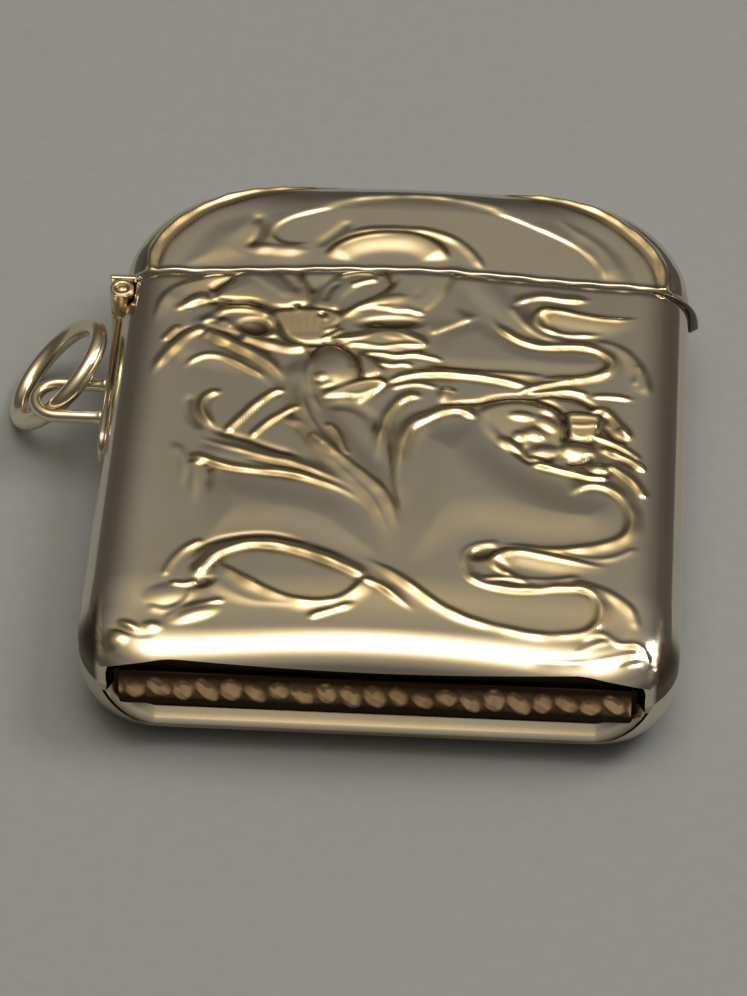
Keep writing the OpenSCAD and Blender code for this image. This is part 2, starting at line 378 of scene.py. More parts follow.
# %% Distances and pressure
def near(line, reach):
    """The part of the raster close to a line, with distance, side and place along it."""
    low, high = line.min(0) - reach, line.max(0) + reach
    rows = slice(*np.searchsorted(map_y, (low[1], high[1])))
    cols = slice(*np.searchsorted(map_x, (low[0], high[0])))
    x, y = grid_x[rows, cols], grid_y[rows, cols]
    best, side, along = np.full(x.shape, 1e9), np.zeros(x.shape), np.zeros(x.shape)
    inside = np.zeros(x.shape, bool)
    steps = np.diff(line, axis=0)
    lengths = np.hypot(*steps.T) + 1e-9
    starts = np.concatenate([[0], np.cumsum(lengths)])
    for a, d, length, start in zip(line, steps, lengths, starts):
        t = np.clip(((x - a[0]) * d[0] + (y - a[1]) * d[1]) / length ** 2, 0, 1)
        dx, dy = x - a[0] - t * d[0], y - a[1] - t * d[1]
        gap = np.hypot(dx, dy)
        closer = gap < best
        best = np.where(closer, gap, best)
        side = np.where(closer, d[0] * dy - d[1] * dx, side)
        along = np.where(closer, start + t * length, along)
        if d[1]:
            crossed = (a[1] > y) != (a[1] + d[1] > y)
            inside ^= crossed & (x < a[0] + (y - a[1]) * d[0] / d[1])
    return (rows, cols), best, side, along / starts[-1], inside


def ease(t):
    """A smooth rise from 0 to 1."""
    t = np.clip(t, 0, 1)
    return t * t * (3 - 2 * t)


def hand(along, length):
    """The uneven pressure of a hand along a stroke."""
    beat = 0.35 * length * along + 1.9 * len(strokes)
    return 1 + 0.16 * np.sin(beat) + 0.1 * np.sin(2.3 * beat + 1)


def faded(along, ends):
    """The share of a stroke's height, which dies out at its two ends."""
    return ease(along / max(ends[0], 1e-6)) * ease((1 - along) / max(ends[1], 1e-6))


print("middle of a stroke:", faded(0.5, (0.12, 0.12)))

# %% [markdown]
# ### Strokes
# A chaser has a handful of punches, and so has this lesson: an edge, a rounded ridge, a covering
# petal, a lifted area, and an oval for bosses, dimples and patches of painted shade or painted golden
# reflection. Each adds to the map, or to a mask, that is being worked on. Brushes in sculpt mode would
# feel more like punches, but are hard to repeat by script.


# %% Edges and ridges
def edge(points, high, soft=1.0, crisp=0.3, ends=(0.12, 0.12)):
    """A raised edge: it falls off sharply on the right hand and slowly on the left."""
    line = smooth_line(points)
    where, gap, side, along, _ = near(line, max(soft, crisp))
    fade = faded(along, ends)
    wide = np.where(side > 0, soft * 1.25, crisp * 0.72) * (0.5 + 0.5 * fade)
    t = np.clip(gap / wide, 0, 1)
    fall = np.where(side > 0, (1 - t) ** 2 * (1 + 0.5 * t), 0.5 + 0.5 * np.cos(np.pi * t))
    relief[where] += high * fade * fall * hand(along, len(line))
    strokes.append("edge")


def ridge(points, high, left=0.35, right=None, ends=(0.2, 0.2)):
    """A rounded raised line; left and right are its widths on either hand."""
    right = left if right is None else right
    line = smooth_line(points)
    where, gap, side, along, _ = near(line, max(left, right))
    fade = faded(along, ends)
    wide = np.where(side > 0, left, right) * (0.45 + 0.55 * fade)
    relief[where] += high * fade * (0.5 + 0.5 * np.cos(np.pi * np.clip(gap / wide, 0, 1)))
    strokes.append("ridge")


print("line punches ready")


# %% Petals, areas and ovals
def petal(points, low, belly=0.0, lean=(0, 0), rim=0.3, cover=1.0):
    """A raised leaf form with its own level, belly and lean that covers what lies under it."""
    line = smooth_line(points, closed=True)
    where, gap, _, _, inside = near(line, 0.2)
    depth = np.where(inside, gap, 0)
    x, y = grid_x[where], grid_y[where]
    middle = np.array(points, float).mean(0)
    most = max(depth.max(), 1e-6)
    form = low + belly * (1 - (1 - depth / most) ** 2)
    form = form + lean[0] * (x - middle[0]) + lean[1] * (y - middle[1])
    mask = ease(depth / rim) * cover
    relief[where] = relief[where] * (1 - mask) + form * mask
    strokes.append("petal")


def area(points, high, rim=0.4):
    """Lifts, or with a negative height sinks, a whole area on top of what is there."""
    line = smooth_line(points, closed=True)
    where, gap, _, _, inside = near(line, 0.2)
    relief[where] += high * ease(np.where(inside, gap, 0) / rim)
    strokes.append("area")


def oval(x, y, wide, tall, turn):
    """1 in the middle of a turned oval, falling to 0 at its rim and beyond."""
    c, n = math.cos(math.radians(turn)), math.sin(math.radians(turn))
    u = ((grid_x - x) * c + (grid_y - y) * n) / wide
    v = (-(grid_x - x) * n + (grid_y - y) * c) / tall
    return np.clip(1 - u * u - v * v, 0, None)


def paint_patch(into, x, y, wide, tall, amount, turn=0.0):
    """A soft patch added to a mask: painted shade in a recess, or a painted golden reflection."""
    into[:] += amount * oval(x, y, wide, tall, turn)


def dome(x, y, wide, tall, high, turn=0.0):
    """A rounded boss, or with a negative height a dimple."""
    relief[:] += high * oval(x, y, wide, tall, turn) ** 1.3
    strokes.append("dome")


print("all punches ready")

# %% [markdown]
# ### Ornament of the lid
# A rim follows the lid's outline, a whiplash line runs inside it and hooks back at the left, and a
# lens-shaped swelling sits on the seam.

# %% Lid strokes
edge([(-17.2, 13), (-17, 14.6), (-16.4, 16.2), (-15.4, 17.7), (-14, 19.1), (-12.3, 20.1), (-10.4, 20.9),
      (-8.6, 21.3), (-5.1, 21.8), (-2, 22)], 0.21, 0.5, 0.55, (0.02, 0.5))
edge([(4.5, 21.7), (7.5, 21.4), (9.5, 21.2), (11.2, 20.6), (12.8, 19.8), (14.4, 18.5), (15.6, 17.2),
      (16.5, 15.8), (17.1, 14.2), (17.3, 12.8)], 0.21, 0.5, 0.55, (0.3, 0.02))
edge([(-6.4, 15.7), (-7.2, 15.5), (-8.1, 15.45), (-8.9, 15.85), (-9.3, 16.5), (-9.05, 17.4),
      (-8.1, 18.2), (-6.6, 18.75), (-5.2, 19.2), (-3.8, 19.55), (-2.4, 19.75), (0, 19.95), (2, 19.9),
      (4.6, 19.5), (6.4, 19), (8.9, 17.9), (10.5, 17.1), (11.8, 16.2), (12.7, 15.1), (13.2, 13.9),
      (13.3, 12.6)], 0.08, 1.6, 0.32, (0.05, 0.06))
area([(-15, 15), (-13.4, 17.6), (-10.8, 18.8), (-9.8, 17.4), (-10.4, 15.6), (-11, 14), (-15.4, 13)],
     0.08, 2.0)
area([(9.6, 19.4), (12.2, 18.2), (14.6, 15.8), (15.6, 13), (13.6, 13), (12.4, 16), (10.6, 17.6)], 0.06,
     1.2)
ridge([(-10.7, 18.6), (-10, 17.4), (-10.3, 16), (-11, 15.2)], -0.07, 0.8, 0.6)
edge([(-11.4, 15.4), (-9.6, 15.3), (-8.2, 15.1), (-6.4, 15)], 0.08, 0.4, 1.2, (0.3, 0.3))
edge([(5.3, 13.4), (4.2, 15.1), (3.1, 16.15), (1.5, 16.8), (0, 16.95), (-2.4, 16.85), (-4, 16.5),
      (-5.2, 15.6)], 0.09, 0.5, 0.6, (0.1, 0.25))
ridge([(-5.6, 14.3), (-4.5, 15.4), (-3.5, 16), (-1.9, 16.4), (0, 16.4), (1.2, 16), (2.1, 15.3),
       (2.9, 14.3)], 0.19, 0.32, 1.9, (0.12, 0.12))
edge([(-5.2, 14.8), (-4.2, 15.6), (-3, 16.15), (-1.6, 16.4), (-0.4, 16.35)], 0.06, 0.2, 0.35,
     (0.2, 0.3))
ridge([(-6.2, 15.2), (-4.8, 16.7), (-3.8, 17.8)], -0.05, 0.7, 0.5)
print("strokes so far:", len(strokes))

# %% [markdown]
# ### Broad forms first
# A chaser raises the large swellings from behind before any line is cut. The panels between the
# scrolls are pillows, the stems lie on a low bundle and the ground falls away towards the base.

# %% Broad forms of the body
relief = maps["body"]
relief -= 0.26 * ease((-15.4 - grid_y) / 5.5)
area([(1.2, -3), (2, -1.8), (4, -1), (5.5, -1), (7, -3), (9, -4.8), (12, -6.2), (14.6, -7), (15.3, -9),
      (14, -11), (10, -11.8), (6, -11.5), (4, -13), (2, -14.5), (0.9, -12), (0.8, -8)], 0.15, 3.6)
area([(-11, -6.2), (-7, -6.8), (-4, -7.8), (-2, -9), (-0.5, -11.5), (-0.2, -14), (-3, -13.6),
      (-6, -12.2), (-9, -12), (-11.5, -12.5), (-12.2, -9)], 0.09, 2.8)
area([(2.6, 7), (5, 8.6), (6.6, 7.6), (8.4, 6.4), (12.4, 6.3), (13.6, 5.4), (12, 4.1), (8, 3.9),
      (2.6, 3.8)], 0.04, 1.3)
ridge([(-6.4, 4.5), (-6.3, 1.5), (-5, -1.8), (-3, -5), (-1, -8), (0.3, -11.5), (0.4, -14.5)], 0.12, 1.9,
      1.6, (0.1, 0.4))
ridge([(3, -0.6), (1.4, -1.8), (0.4, -4), (0.5, -7.5), (0.6, -12)], 0.07, 1.4, 1.2, (0.15, 0.4))
ridge([(-13, -4), (-9.4, -5), (-6, -6), (-3, -7.4), (-0.6, -10)], 0.06, 1.2, 1.2, (0.15, 0.3))
ridge([(3.6, 14), (5.4, 11.6), (7.4, 9.2), (9, 7.2)], 0.05, 1.6, 1.6)
print("strokes so far:", len(strokes))

# %% [markdown]
# ### The open lily
# The flower is built from back to front. Each petal is an outline that covers what lies under it,
# with its own lean, so that neighbours catch the light differently; ridges and edges mark the folds.

# %% Lily strokes
area([(-16.2, 10.8), (-15.6, 8), (-15.8, 5), (-13, 3.5), (-8, 2), (-5, 0.5), (-1, 1.5), (3, 4),
      (3.2, 7.5), (4.8, 9), (3.4, 15), (-6, 15), (-13, 14)], 0.06, 1.6)
edge([(-11.4, 12.7), (-12.6, 12.4), (-13.8, 12), (-14.8, 11.6), (-15.6, 11), (-16.2, 9.8),
      (-16.6, 7.6)], 0.09, 1.2, 0.5, (0.2, 0.4))
petal([(-7.2, 15), (-6.8, 12.4), (-6.15, 10.5), (-5.3, 11.6), (-4.8, 13), (-4.6, 15)], 0.12, 0.0,
      (0, 0.055), 0.3)
petal([(-6.1, 9.6), (-5.6, 11.4), (-4.6, 12.7), (-3, 13.1), (-1.7, 12.8), (-1.5, 12.1), (-3, 11.2),
       (-3.9, 10.2), (-4.3, 8.9), (-5.4, 9)], 0.07, 0.06, (0.02, -0.04), 0.3)
edge([(-4.4, 12.2), (-3.4, 12.6), (-2, 12.6)], 0.12, 0.5, 0.3)
edge([(-3.6, 11.3), (-2.8, 11.7), (-1.8, 12)], 0.1, 0.3, 0.28)
ridge([(-5.2, 9.6), (-5, 10.8), (-4.3, 11.8)], -0.06, 0.35, 0.3)
petal([(-4.3, 7.9), (-2.9, 8.8), (-1.2, 9), (0.5, 8.75), (1.5, 8.85), (2.5, 10.1), (3, 11.5), (3.2, 15),
       (-1.6, 15), (-1, 11.6), (-1.8, 10.4), (-3.2, 9.4)], 0.17, 0.08, (-0.012, 0.03), 0.35)
ridge([(-4.2, 8.1), (-3.1, 9.1), (-2, 9.75), (-0.6, 10.2), (0.6, 10.2)], 0.08, 0.35, 0.75)
ridge([(-3.2, 8.8), (-2, 9.3), (-0.8, 9.5)], -0.05, 0.25, 0.25)
edge([(-2, 9.2), (-1.2, 9.15), (-0.4, 8.95), (0.4, 9), (0.9, 8.8), (1.6, 8.85)], 0.1, 0.4, 0.22)
ridge([(-1.1, 13.2), (-0.6, 12), (-1.2, 10.9)], -0.07, 0.3, 0.3)
ridge([(1.4, 12.9), (1.3, 11.4), (0.6, 10)], -0.03, 0.5, 0.5)
petal([(-12.6, 10.2), (-12.2, 11.6), (-11.3, 12.9), (-9.6, 13.8), (-8, 13.4), (-7.1, 12.6),
       (-6.5, 11.7), (-6.2, 10.5), (-6.3, 9.6), (-7.2, 9.2), (-8.6, 9.2), (-9.8, 9.8), (-11.1, 10)],
      0.13, 0.12, (0.0, -0.012), 0.35)
ridge([(-10.8, 12.8), (-9.6, 11.9), (-8.5, 10.9), (-7.5, 10)], 0.06, 0.7, 0.4)
ridge([(-9.4, 13.3), (-8.3, 12.4), (-7.4, 11.3), (-7, 10.4)], -0.08, 0.6, 0.6)
ridge([(-13, 10.9), (-12.3, 11.7), (-11.3, 12.3)], -0.13, 0.5, 0.45)
dome(-13.8, 10.1, 1.0, 0.5, 0.22, 42)
edge([(-15.2, 9.1), (-14.3, 9.7), (-13.4, 10), (-12.8, 10.3)], 0.08, 0.5, 0.4)
ridge([(-13.2, 9.7), (-12.3, 10), (-11.3, 9.85), (-10.2, 9.8), (-9.2, 9.2)], -0.14, 0.3, 0.28)
petal([(-13.2, 8.6), (-12, 9.6), (-10.6, 9.5), (-9.4, 9.2), (-8.6, 8.5), (-8.4, 7.4), (-8, 6.4),
       (-9.2, 6.2), (-10.9, 6.7), (-12.2, 7.1), (-13.4, 7.8)], 0.12, 0.02, (0.01, 0.0), 0.35)
edge([(-12.4, 8.9), (-11.2, 9.15), (-9.9, 9), (-8.7, 8.4)], 0.13, 0.35, 0.6)
edge([(-13.4, 7.9), (-12.6, 8.2), (-11.8, 7.9), (-11.2, 7.3)], 0.08, 0.4, 0.4)
dome(-9.7, 7.35, 1.45, 0.95, -0.32, -18)
dome(-12.2, 8.2, 0.6, 0.4, -0.1, 20)
edge([(-10.6, 6.6), (-9.4, 6.05), (-8.2, 5.6), (-7.2, 5.35), (-6, 5.45)], 0.2, 0.4, 1.05, (0.08, 0.1))
petal([(-8.6, 8.8), (-8.2, 7.3), (-7.6, 6.4), (-6.6, 5.85), (-5.2, 6), (-4.6, 7), (-3.9, 8.2),
       (-4.6, 8.9), (-5.8, 9.1), (-7.2, 9.1)], 0.17, 0.0, (0, 0.05), 0.3)
for x in (-7.7, -7.1, -6.5, -5.9, -5.3):
    ridge([(x, 8.8), (0.8 * x - 1.2, 7.4), (0.68 * x - 1.9, 6.3)], -0.03, 0.22, 0.22)
for x, y in ((-7.1, 9.35), (-5.3, 8.5)):
    dome(x, y, 0.32, 0.28, -0.22)
    dome(x + 0.2, y - 0.5, 0.25, 0.2, 0.08)
ridge([(-8.5, 8.7), (-8.1, 7.3), (-7.5, 6.3), (-6.5, 5.7), (-5.2, 5.75), (-4.7, 6.4)], -0.13, 0.25,
      0.25)
edge([(-16.3, 2.6), (-15.8, 4), (-15, 5.5), (-14.2, 6.6), (-13.4, 7.2), (-12.9, 7)], 0.13, 0.45, 0.8,
     (0.35, 0.06))
ridge([(-15.8, 6), (-15.2, 7), (-14.7, 7.7)], 0.09, 0.3, 0.3)
ridge([(-15.4, 5.7), (-14.6, 6.9), (-13.8, 7.6)], -0.07, 0.3, 0.3)
edge([(-13, 7.1), (-12.2, 6.6), (-11.3, 6), (-10.4, 5.4), (-9.4, 4.7), (-8.5, 3.9), (-7.8, 3),
      (-7.4, 2)], 0.2, 0.4, 1.0, (0.04, 0.3))
dome(-11.9, 6.2, 0.9, 0.6, 0.1, -35)
edge([(-14.2, 3.4), (-13.6, 4.3), (-12.8, 4.75), (-11.8, 4.65), (-10.8, 4.1), (-9.8, 3.4), (-8.9, 2.7),
      (-8.1, 1.6)], 0.11, 0.3, 0.5, (0.2, 0.25))
print("strokes so far:", len(strokes))

# %% Lower petals of the lily and the small bud
petal([(-4.8, 6.2), (-3, 6.4), (-0.8, 7.1), (0.8, 6.6), (1.9, 5.8), (0.8, 5.1), (-1, 4.8), (-3, 5.3)],
      0.18, 0.0, (0, 0.08), 0.35)
edge([(-4.8, 6), (-2.8, 6.3), (-1.6, 6.9), (-0.6, 7), (0.5, 6.6), (2, 5.8)], 0.13, 0.5, 0.55)
dome(-0.5, 6.4, 1.0, 0.4, 0.06, -10)
edge([(-3.9, 5.5), (-2.4, 5.6), (-1.2, 5.4), (0.2, 5.65), (1.8, 5.7)], 0.09, 0.22, 0.28)
edge([(-2.5, 4.8), (-1.2, 4.75), (-0.2, 4.55), (1.1, 4.75), (3, 4.4)], 0.15, 0.3, 0.3)
edge([(-1.4, 3.9), (-0.4, 3.7), (0.2, 3.85), (1, 3.75)], 0.1, 0.22, 0.25)
ridge([(-5.3, 6), (-4.5, 6.5), (-3.8, 7.15)], 0.14, 0.22, 0.22)
ridge([(-5, 6.8), (-4.2, 7.3)], 0.1, 0.2, 0.2)
dome(-0.8, 7.8, 2.5, 0.75, -0.14, 3)
dome(-1.6, 7.7, 0.5, 0.2, 0.06)
edge([(1.8, 6.8), (3, 7.65), (4, 8.3), (5.2, 9.2)], 0.1, 1.2, 0.32, (0.15, 0.35))
dome(-4.1, 3.5, 1.75, 2.2, 0.3, 18)
ridge([(-5.9, 3.6), (-5.7, 4.9), (-4.6, 5.7), (-3.2, 4.8), (-2.5, 3.4), (-2.5, 2.2)], -0.1, 0.3, 0.25)
dome(-5, 2.45, 0.5, 0.4, 0.12)
dome(-4.3, 3, 0.5, 1.0, 0.06, 18)
dome(-4.6, 1.7, 0.6, 0.3, 0.06, 10)
ridge([(-3.9, 5.5), (-3.2, 4.4), (-3, 3)], -0.07, 0.25, 0.25)
petal([(-2.7, 4.8), (-1.6, 4.3), (-0.9, 3.2), (-1.6, 2.4), (-2.4, 2.6)], 0.1, 0.12, (0, 0), 0.25)
petal([(-5, 0.5), (-3.4, 1.7), (-1.9, 2.3), (-0.7, 2.2), (-1, 1.3), (-2.3, 0), (-3, 0.6)], 0.14, 0.0,
      (0, 0.09), 0.25)
edge([(-4.9, 0.7), (-3.4, 1.6), (-1.9, 2.15), (-0.6, 2.1)], 0.09, 0.3, 0.3)
edge([(-3.2, 0.8), (-2.2, 0.9), (-1.2, 1.5)], 0.06, 0.3, 0.25)
ridge([(-4.6, -0.4), (-3, -0.2), (-1.6, -1.2), (-0.9, -3)], -0.05, 0.8, 0.6)
print("strokes so far:", len(strokes))

# %% [markdown]
# ### Stems and leaves
# A stem is an edge that is steep on one hand and soft on the other. Where the steep side faces the
# viewer it reads as a line of light over a shaded band, which is how chased stems look.

# %% Stem and leaf strokes
edge([(0.9, -11.6), (0.4, -9.6), (-0.3, -8.05), (-1.4, -6.8), (-2.8, -5.4), (-3.8, -4.3), (-4.8, -2.8),
      (-5.6, -1.2), (-6, 0), (-6.2, 1.6), (-6.2, 3)], 0.12, 0.9, 0.35, (0.2, 0.2))
edge([(0.4, -12.4), (-0.2, -10.6), (-1, -8.8), (-2.2, -7.2), (-3.6, -5.6), (-5, -4), (-6.2, -2.2)],
     0.07, 0.7, 0.3, (0.25, 0.3))
edge([(-6.2, 5.2), (-5.9, 4), (-5.9, 2.8), (-5.7, 1.5), (-5.3, 0.2), (-4.6, -1.2)], 0.08, 0.4, 0.35,
     (0.1, 0.3))
edge([(-4.4, -1.9), (-3.9, -2.4), (-3.5, -3.1), (-3.1, -4.3), (-2.7, -5)], 0.13, 0.25, 0.35)
edge([(-7.4, -1.3), (-6.2, -1.8), (-5.1, -3), (-4.3, -4), (-3, -5.2)], 0.1, 0.35, 0.8, (0.2, 0.2))
ridge([(-5.4, -2.9), (-4.8, -3.45), (-4.3, -4)], 0.1, 0.22, 0.35)
ridge([(-11.4, 1.35), (-12, 1.15), (-12.5, 0.6), (-12.6, -0.3), (-12.2, -1.3), (-11.5, -2.2)], 0.14,
      0.35, 0.4, (0.12, 0.25))
ridge([(-13.4, 1.2), (-13.5, 0), (-13.2, -1.2), (-12.2, -2.4)], -0.05, 0.5, 0.5)
edge([(-11, -2.6), (-10.2, -1.5), (-9.5, -0.5), (-8.5, 0.75), (-7.7, 1.3), (-7.2, 1)], 0.16, 0.25, 0.6,
     (0.08, 0.12))
edge([(-9.3, -3.1), (-8.4, -1.95), (-7.5, -1.05), (-6.6, -0.45), (-6, -0.6)], 0.14, 0.25, 0.5,
     (0.1, 0.12))
ridge([(-12.2, -2), (-10.9, -2.7), (-9.4, -3.3), (-7.6, -4.2), (-5.6, -5)], -0.07, 0.45, 0.45)
edge([(-12.8, -3), (-11.2, -3.75), (-9.8, -4.3), (-8.1, -4.95), (-6.6, -5.4), (-4.8, -6.3), (-3.5, -7),
      (-1.8, -8.2)], 0.1, 0.5, 0.3, (0.2, 0.3))
edge([(-13, -4.7), (-12.2, -5), (-11.1, -5.55), (-9.8, -5.95), (-8.1, -6.25), (-6.6, -6.5),
      (-5.2, -6.95), (-3.8, -7.55), (-2.4, -8.4), (-0.9, -10)], 0.16, 0.45, 0.5, (0.03, 0.5))
ridge([(-10, -4.9), (-7.4, -5.75), (-5, -6.6), (-3, -7.8)], -0.04, 0.25, 0.25)
dome(-12.3, -5.2, 0.6, 0.45, 0.12)
ridge([(-12.6, -5.2), (-12.5, -7), (-12.4, -9.6)], 0.07, 0.6, 0.6, (0.05, 0.7))
ridge([(-11.6, -5.8), (-11.6, -7), (-11.5, -8.6)], -0.05, 0.5, 0.5, (0.05, 0.6))
ridge([(-14.4, -3.4), (-13.6, -4.6), (-13.3, -6), (-13.4, -8)], 0.05, 0.6, 0.6, (0.2, 0.5))
edge([(-0.9, -6), (-0.8, -3.2), (-0.5, -1.3), (0.1, 0.05), (0.9, 0.85), (1.9, 0.95)], 0.13, 0.5, 0.5,
     (0.45, 0.1))
edge([(0.6, -7), (0.7, -4), (1.1, -2.2), (2, -1.2), (3.2, -0.35), (4.3, -0.15), (5.4, -0.85)], 0.17,
     0.6, 0.6, (0.45, 0.08))
ridge([(-0.2, -2.6), (-0.1, -4.6), (0.3, -7), (0.9, -10)], -0.06, 0.3, 0.3)
dome(3.2, 1.2, 0.5, 0.8, 0.1, -20)
edge([(2.9, 1.65), (3.9, 1.6)], 0.1, 0.25, 0.22)
edge([(-0.4, 1.5), (0.4, 1.9), (1.4, 2.1), (2.8, 1.8)], 0.08, 0.25, 0.35)
print("strokes so far:", len(strokes))

# %% Right stem and upper scroll
edge([(-0.9, 2), (0.6, 2.8), (2, 3.1), (4, 3.2), (6, 3.1), (9, 2.65)], 0.19, 0.35, 0.65, (0.15, 0.12))
edge([(10, 3.8), (7, 3.7), (4, 3.55), (1.4, 3.7)], 0.07, 0.6, 0.3, (0.15, 0.15))
edge([(8, 2), (9.2, 2.75), (10.2, 3.15), (11.6, 3.55)], 0.13, 0.3, 0.4)
edge([(8.6, 1.9), (9.8, 2.2), (11, 2.6), (12.6, 2.4)], 0.1, 0.3, 0.35)
edge([(12.6, 2.2), (13.8, 2.3), (15.7, 2.15)], 0.13, 0.35, 0.3, (0.2, 0.35))
ridge([(2.4, 0.1), (4.2, 0.5), (5.6, 0.8), (7.1, 1.4), (8.6, 1.7), (9.8, 2), (11.4, 2.2)], -0.11, 0.35,
      0.3)
edge([(7, 10), (8, 10.95), (9.2, 11.4), (10.2, 11.35), (11, 11.3), (12.6, 11.55)], 0.13, 0.6, 0.4,
     (0.25, 0.2))
ridge([(8.9, 9.9), (10, 10.15), (11.5, 9.95), (13, 9.75), (14.4, 9.8), (15.8, 10.1)], 0.13, 0.3, 2.0,
      (0.06, 0.45))
edge([(8.8, 9.8), (10, 10.15), (11.5, 9.95), (13, 9.75), (14.4, 9.8), (15.8, 10.1)], 0.08, 0.25, 0.4,
     (0.1, 0.3))
edge([(10, 10.4), (9.2, 10.1), (8.85, 9.4), (9, 8.7), (9.6, 8.2), (10.4, 7.9)], 0.09, 0.5, 0.3)
edge([(9.1, 8.6), (9.8, 8.15), (10.8, 7.95), (12, 8), (13.6, 8.25)], 0.1, 0.3, 0.3, (0.15, 0.35))
edge([(5.8, 9.2), (6.3, 8.2), (7, 7.45), (8, 6.85), (9, 6.6), (10, 6.65), (11.5, 6.85), (12.7, 6.75),
      (13.5, 6.3), (13.95, 5.7), (13.85, 5), (13.3, 4.4), (12.4, 4), (11.5, 3.75), (9.2, 3.5)], 0.16,
     0.55, 0.42, (0.15, 0.12))
edge([(7, 10.4), (7.7, 9.2), (8.7, 8.1), (9.8, 7.5), (11, 7.3)], 0.06, 0.6, 0.6)
edge([(16.4, 2.6), (16.1, 4.4), (15.3, 6), (14.2, 7.1), (12.6, 7.5)], 0.07, 1.0, 0.7)
ridge([(15.6, 5.6), (15.8, 4.6), (15.4, 3.4)], 0.05, 0.35, 0.35)
print("strokes so far:", len(strokes))

# %% [markdown]
# ### Buds and scrolls on the right
# A closed bud lies on its side with a calyx and crimped petals. Under it a long S-shaped border ends
# in a rounded tongue, and the lobe below repeats it.

# %% Bud and scroll strokes
dome(8.4, -1.1, 3.2, 2.5, 0.22, -28)
petal([(5.4, -0.2), (7, 1), (9, 1.2), (10.8, 0.3), (11, -2), (10.6, -4.2), (9, -4.2), (7, -2.8)], 0.05,
      0.0, (0, 0.06), 0.6)
ridge([(4.8, 0.4), (6.2, 1.2), (7.8, 1.55), (9.2, 1.5), (10.4, 1), (11.2, 0)], -0.08, 0.4, 0.3)
for x, y, wide, tall, turn in ((9.9, -0.8, 0.95, 0.62, -35), (9.2, -1.8, 0.85, 0.68, 0),
                               (9.8, -3.3, 1.15, 0.66, 15), (7.6, -3, 1.05, 0.55, -30),
                               (9.4, -4.1, 0.6, 0.3, -10), (10, 0.4, 0.7, 0.5, -20),
                               (8.3, -0.3, 1.0, 0.45, 0), (8.2, -2.1, 0.5, 0.55, 0)):
    dome(x, y, wide, tall, 0.14, turn)
ridge([(8.2, -1.2), (8.7, -2.2), (8.6, -3.2)], 0.05, 0.2, 0.2)
ridge([(6.9, -2.5), (8, -3.6), (9, -4.4), (10.4, -4.5)], -0.08, 0.3, 0.3)
petal([(11.2, 0.4), (13.3, 0.4), (13.4, -0.6), (13, -1.8), (12, -2.1), (11.2, -1.4)], 0.22, 0.0,
      (0, 0.08), 0.25)
edge([(11.3, 0), (12.4, 0.1), (13.4, 0.05)], 0.1, 0.2, 0.28)
edge([(11.4, -0.8), (12.4, -0.75), (13.3, -0.5)], 0.1, 0.25, 0.24)
dome(12, -3, 1.3, 0.9, 0.22)
dome(11.3, -2.9, 0.5, 0.5, 0.06)
edge([(12.6, 0.8), (13.5, 1), (14.2, 0.3), (14.8, -0.7), (15.4, -1.7)], 0.16, 0.35, 0.5)
dome(13.6, 0.6, 0.3, 0.4, 0.08)
edge([(12.8, -1.5), (14.1, -2), (15.2, -2.7), (16.1, -3.5)], 0.14, 0.3, 0.3)
dome(14.8, -1, 0.5, 0.35, 0.1, -30)
edge([(13.4, -2.5), (14.4, -3.1), (15.4, -3.55), (16.4, -4.5)], 0.16, 0.3, 0.4)
edge([(13.9, -4), (15, -4.9), (15.8, -5.8), (16.5, -7)], 0.14, 0.45, 0.4)
edge([(8.9, -4.4), (10.5, -4.8), (11.8, -5.1), (13, -5.4), (14.2, -5.3)], 0.2, 0.35, 0.45)
dome(13.4, -4.5, 0.75, 0.6, 0.17)
dome(14.4, -3, 0.5, 0.35, 0.09, -30)
dome(12.3, -4.8, 0.5, 0.3, 0.08, -40)
ridge([(11.2, -4.2), (12.4, -4), (13, -3.2)], -0.12, 0.28, 0.28)
ridge([(10.9, 0.4), (11.25, -1), (10.9, -2.4)], -0.16, 0.25, 0.25)
ridge([(10.2, 1.9), (11.6, 2), (12.7, 1.4), (13, 0.7)], -0.12, 0.4, 0.4)
ridge([(13.6, -0.4), (14.2, -1.4), (15.2, -2)], -0.1, 0.25, 0.25)
edge([(11.6, -7.2), (12.3, -6.35), (13.2, -6.05), (14.2, -6.35), (15.1, -7.25), (15.65, -8.7),
      (15.45, -10.2), (14.6, -11), (13.4, -11.55), (12, -12), (10.5, -12.25), (8.6, -12.15),
      (6.8, -12.1)], 0.14, 0.7, 0.5, (0.06, 0.25))
edge([(16.2, -11.4), (14.4, -12.5), (12.6, -12.7), (11, -12.5)], 0.05, 0.4, 0.35)
ridge([(6.9, -13.6), (7.7, -12.9), (8.7, -12.6), (10.2, -12.8), (12.1, -13.05), (14.6, -13.3)], 0.14,
      0.35, 1.7, (0.08, 0.5))
edge([(6.9, -13.6), (7.7, -12.95), (8.7, -12.65), (10.2, -12.85), (12.1, -13.1), (14.4, -13.4)], 0.1,
     0.25, 0.5, (0.1, 0.4))
edge([(8.4, -12.4), (7.3, -12.9), (6.9, -13.6), (7.3, -14.3), (8.4, -14.8)], 0.09, 0.6, 0.35)
edge([(12.6, -14.3), (11.4, -14.7), (10, -14.95), (8.6, -14.9), (7.4, -14.4)], 0.07, 0.5, 0.3)
edge([(7.4, -11.9), (5.9, -12.4), (5.2, -13.1), (5.2, -14.2), (5.8, -15.1)], 0.06, 0.6, 0.5)
dome(6.3, -13, 1.1, 0.7, -0.12, 35)
edge([(6.3, -15.35), (7.6, -15.1), (9.4, -15.25)], 0.1, 0.25, 0.24)
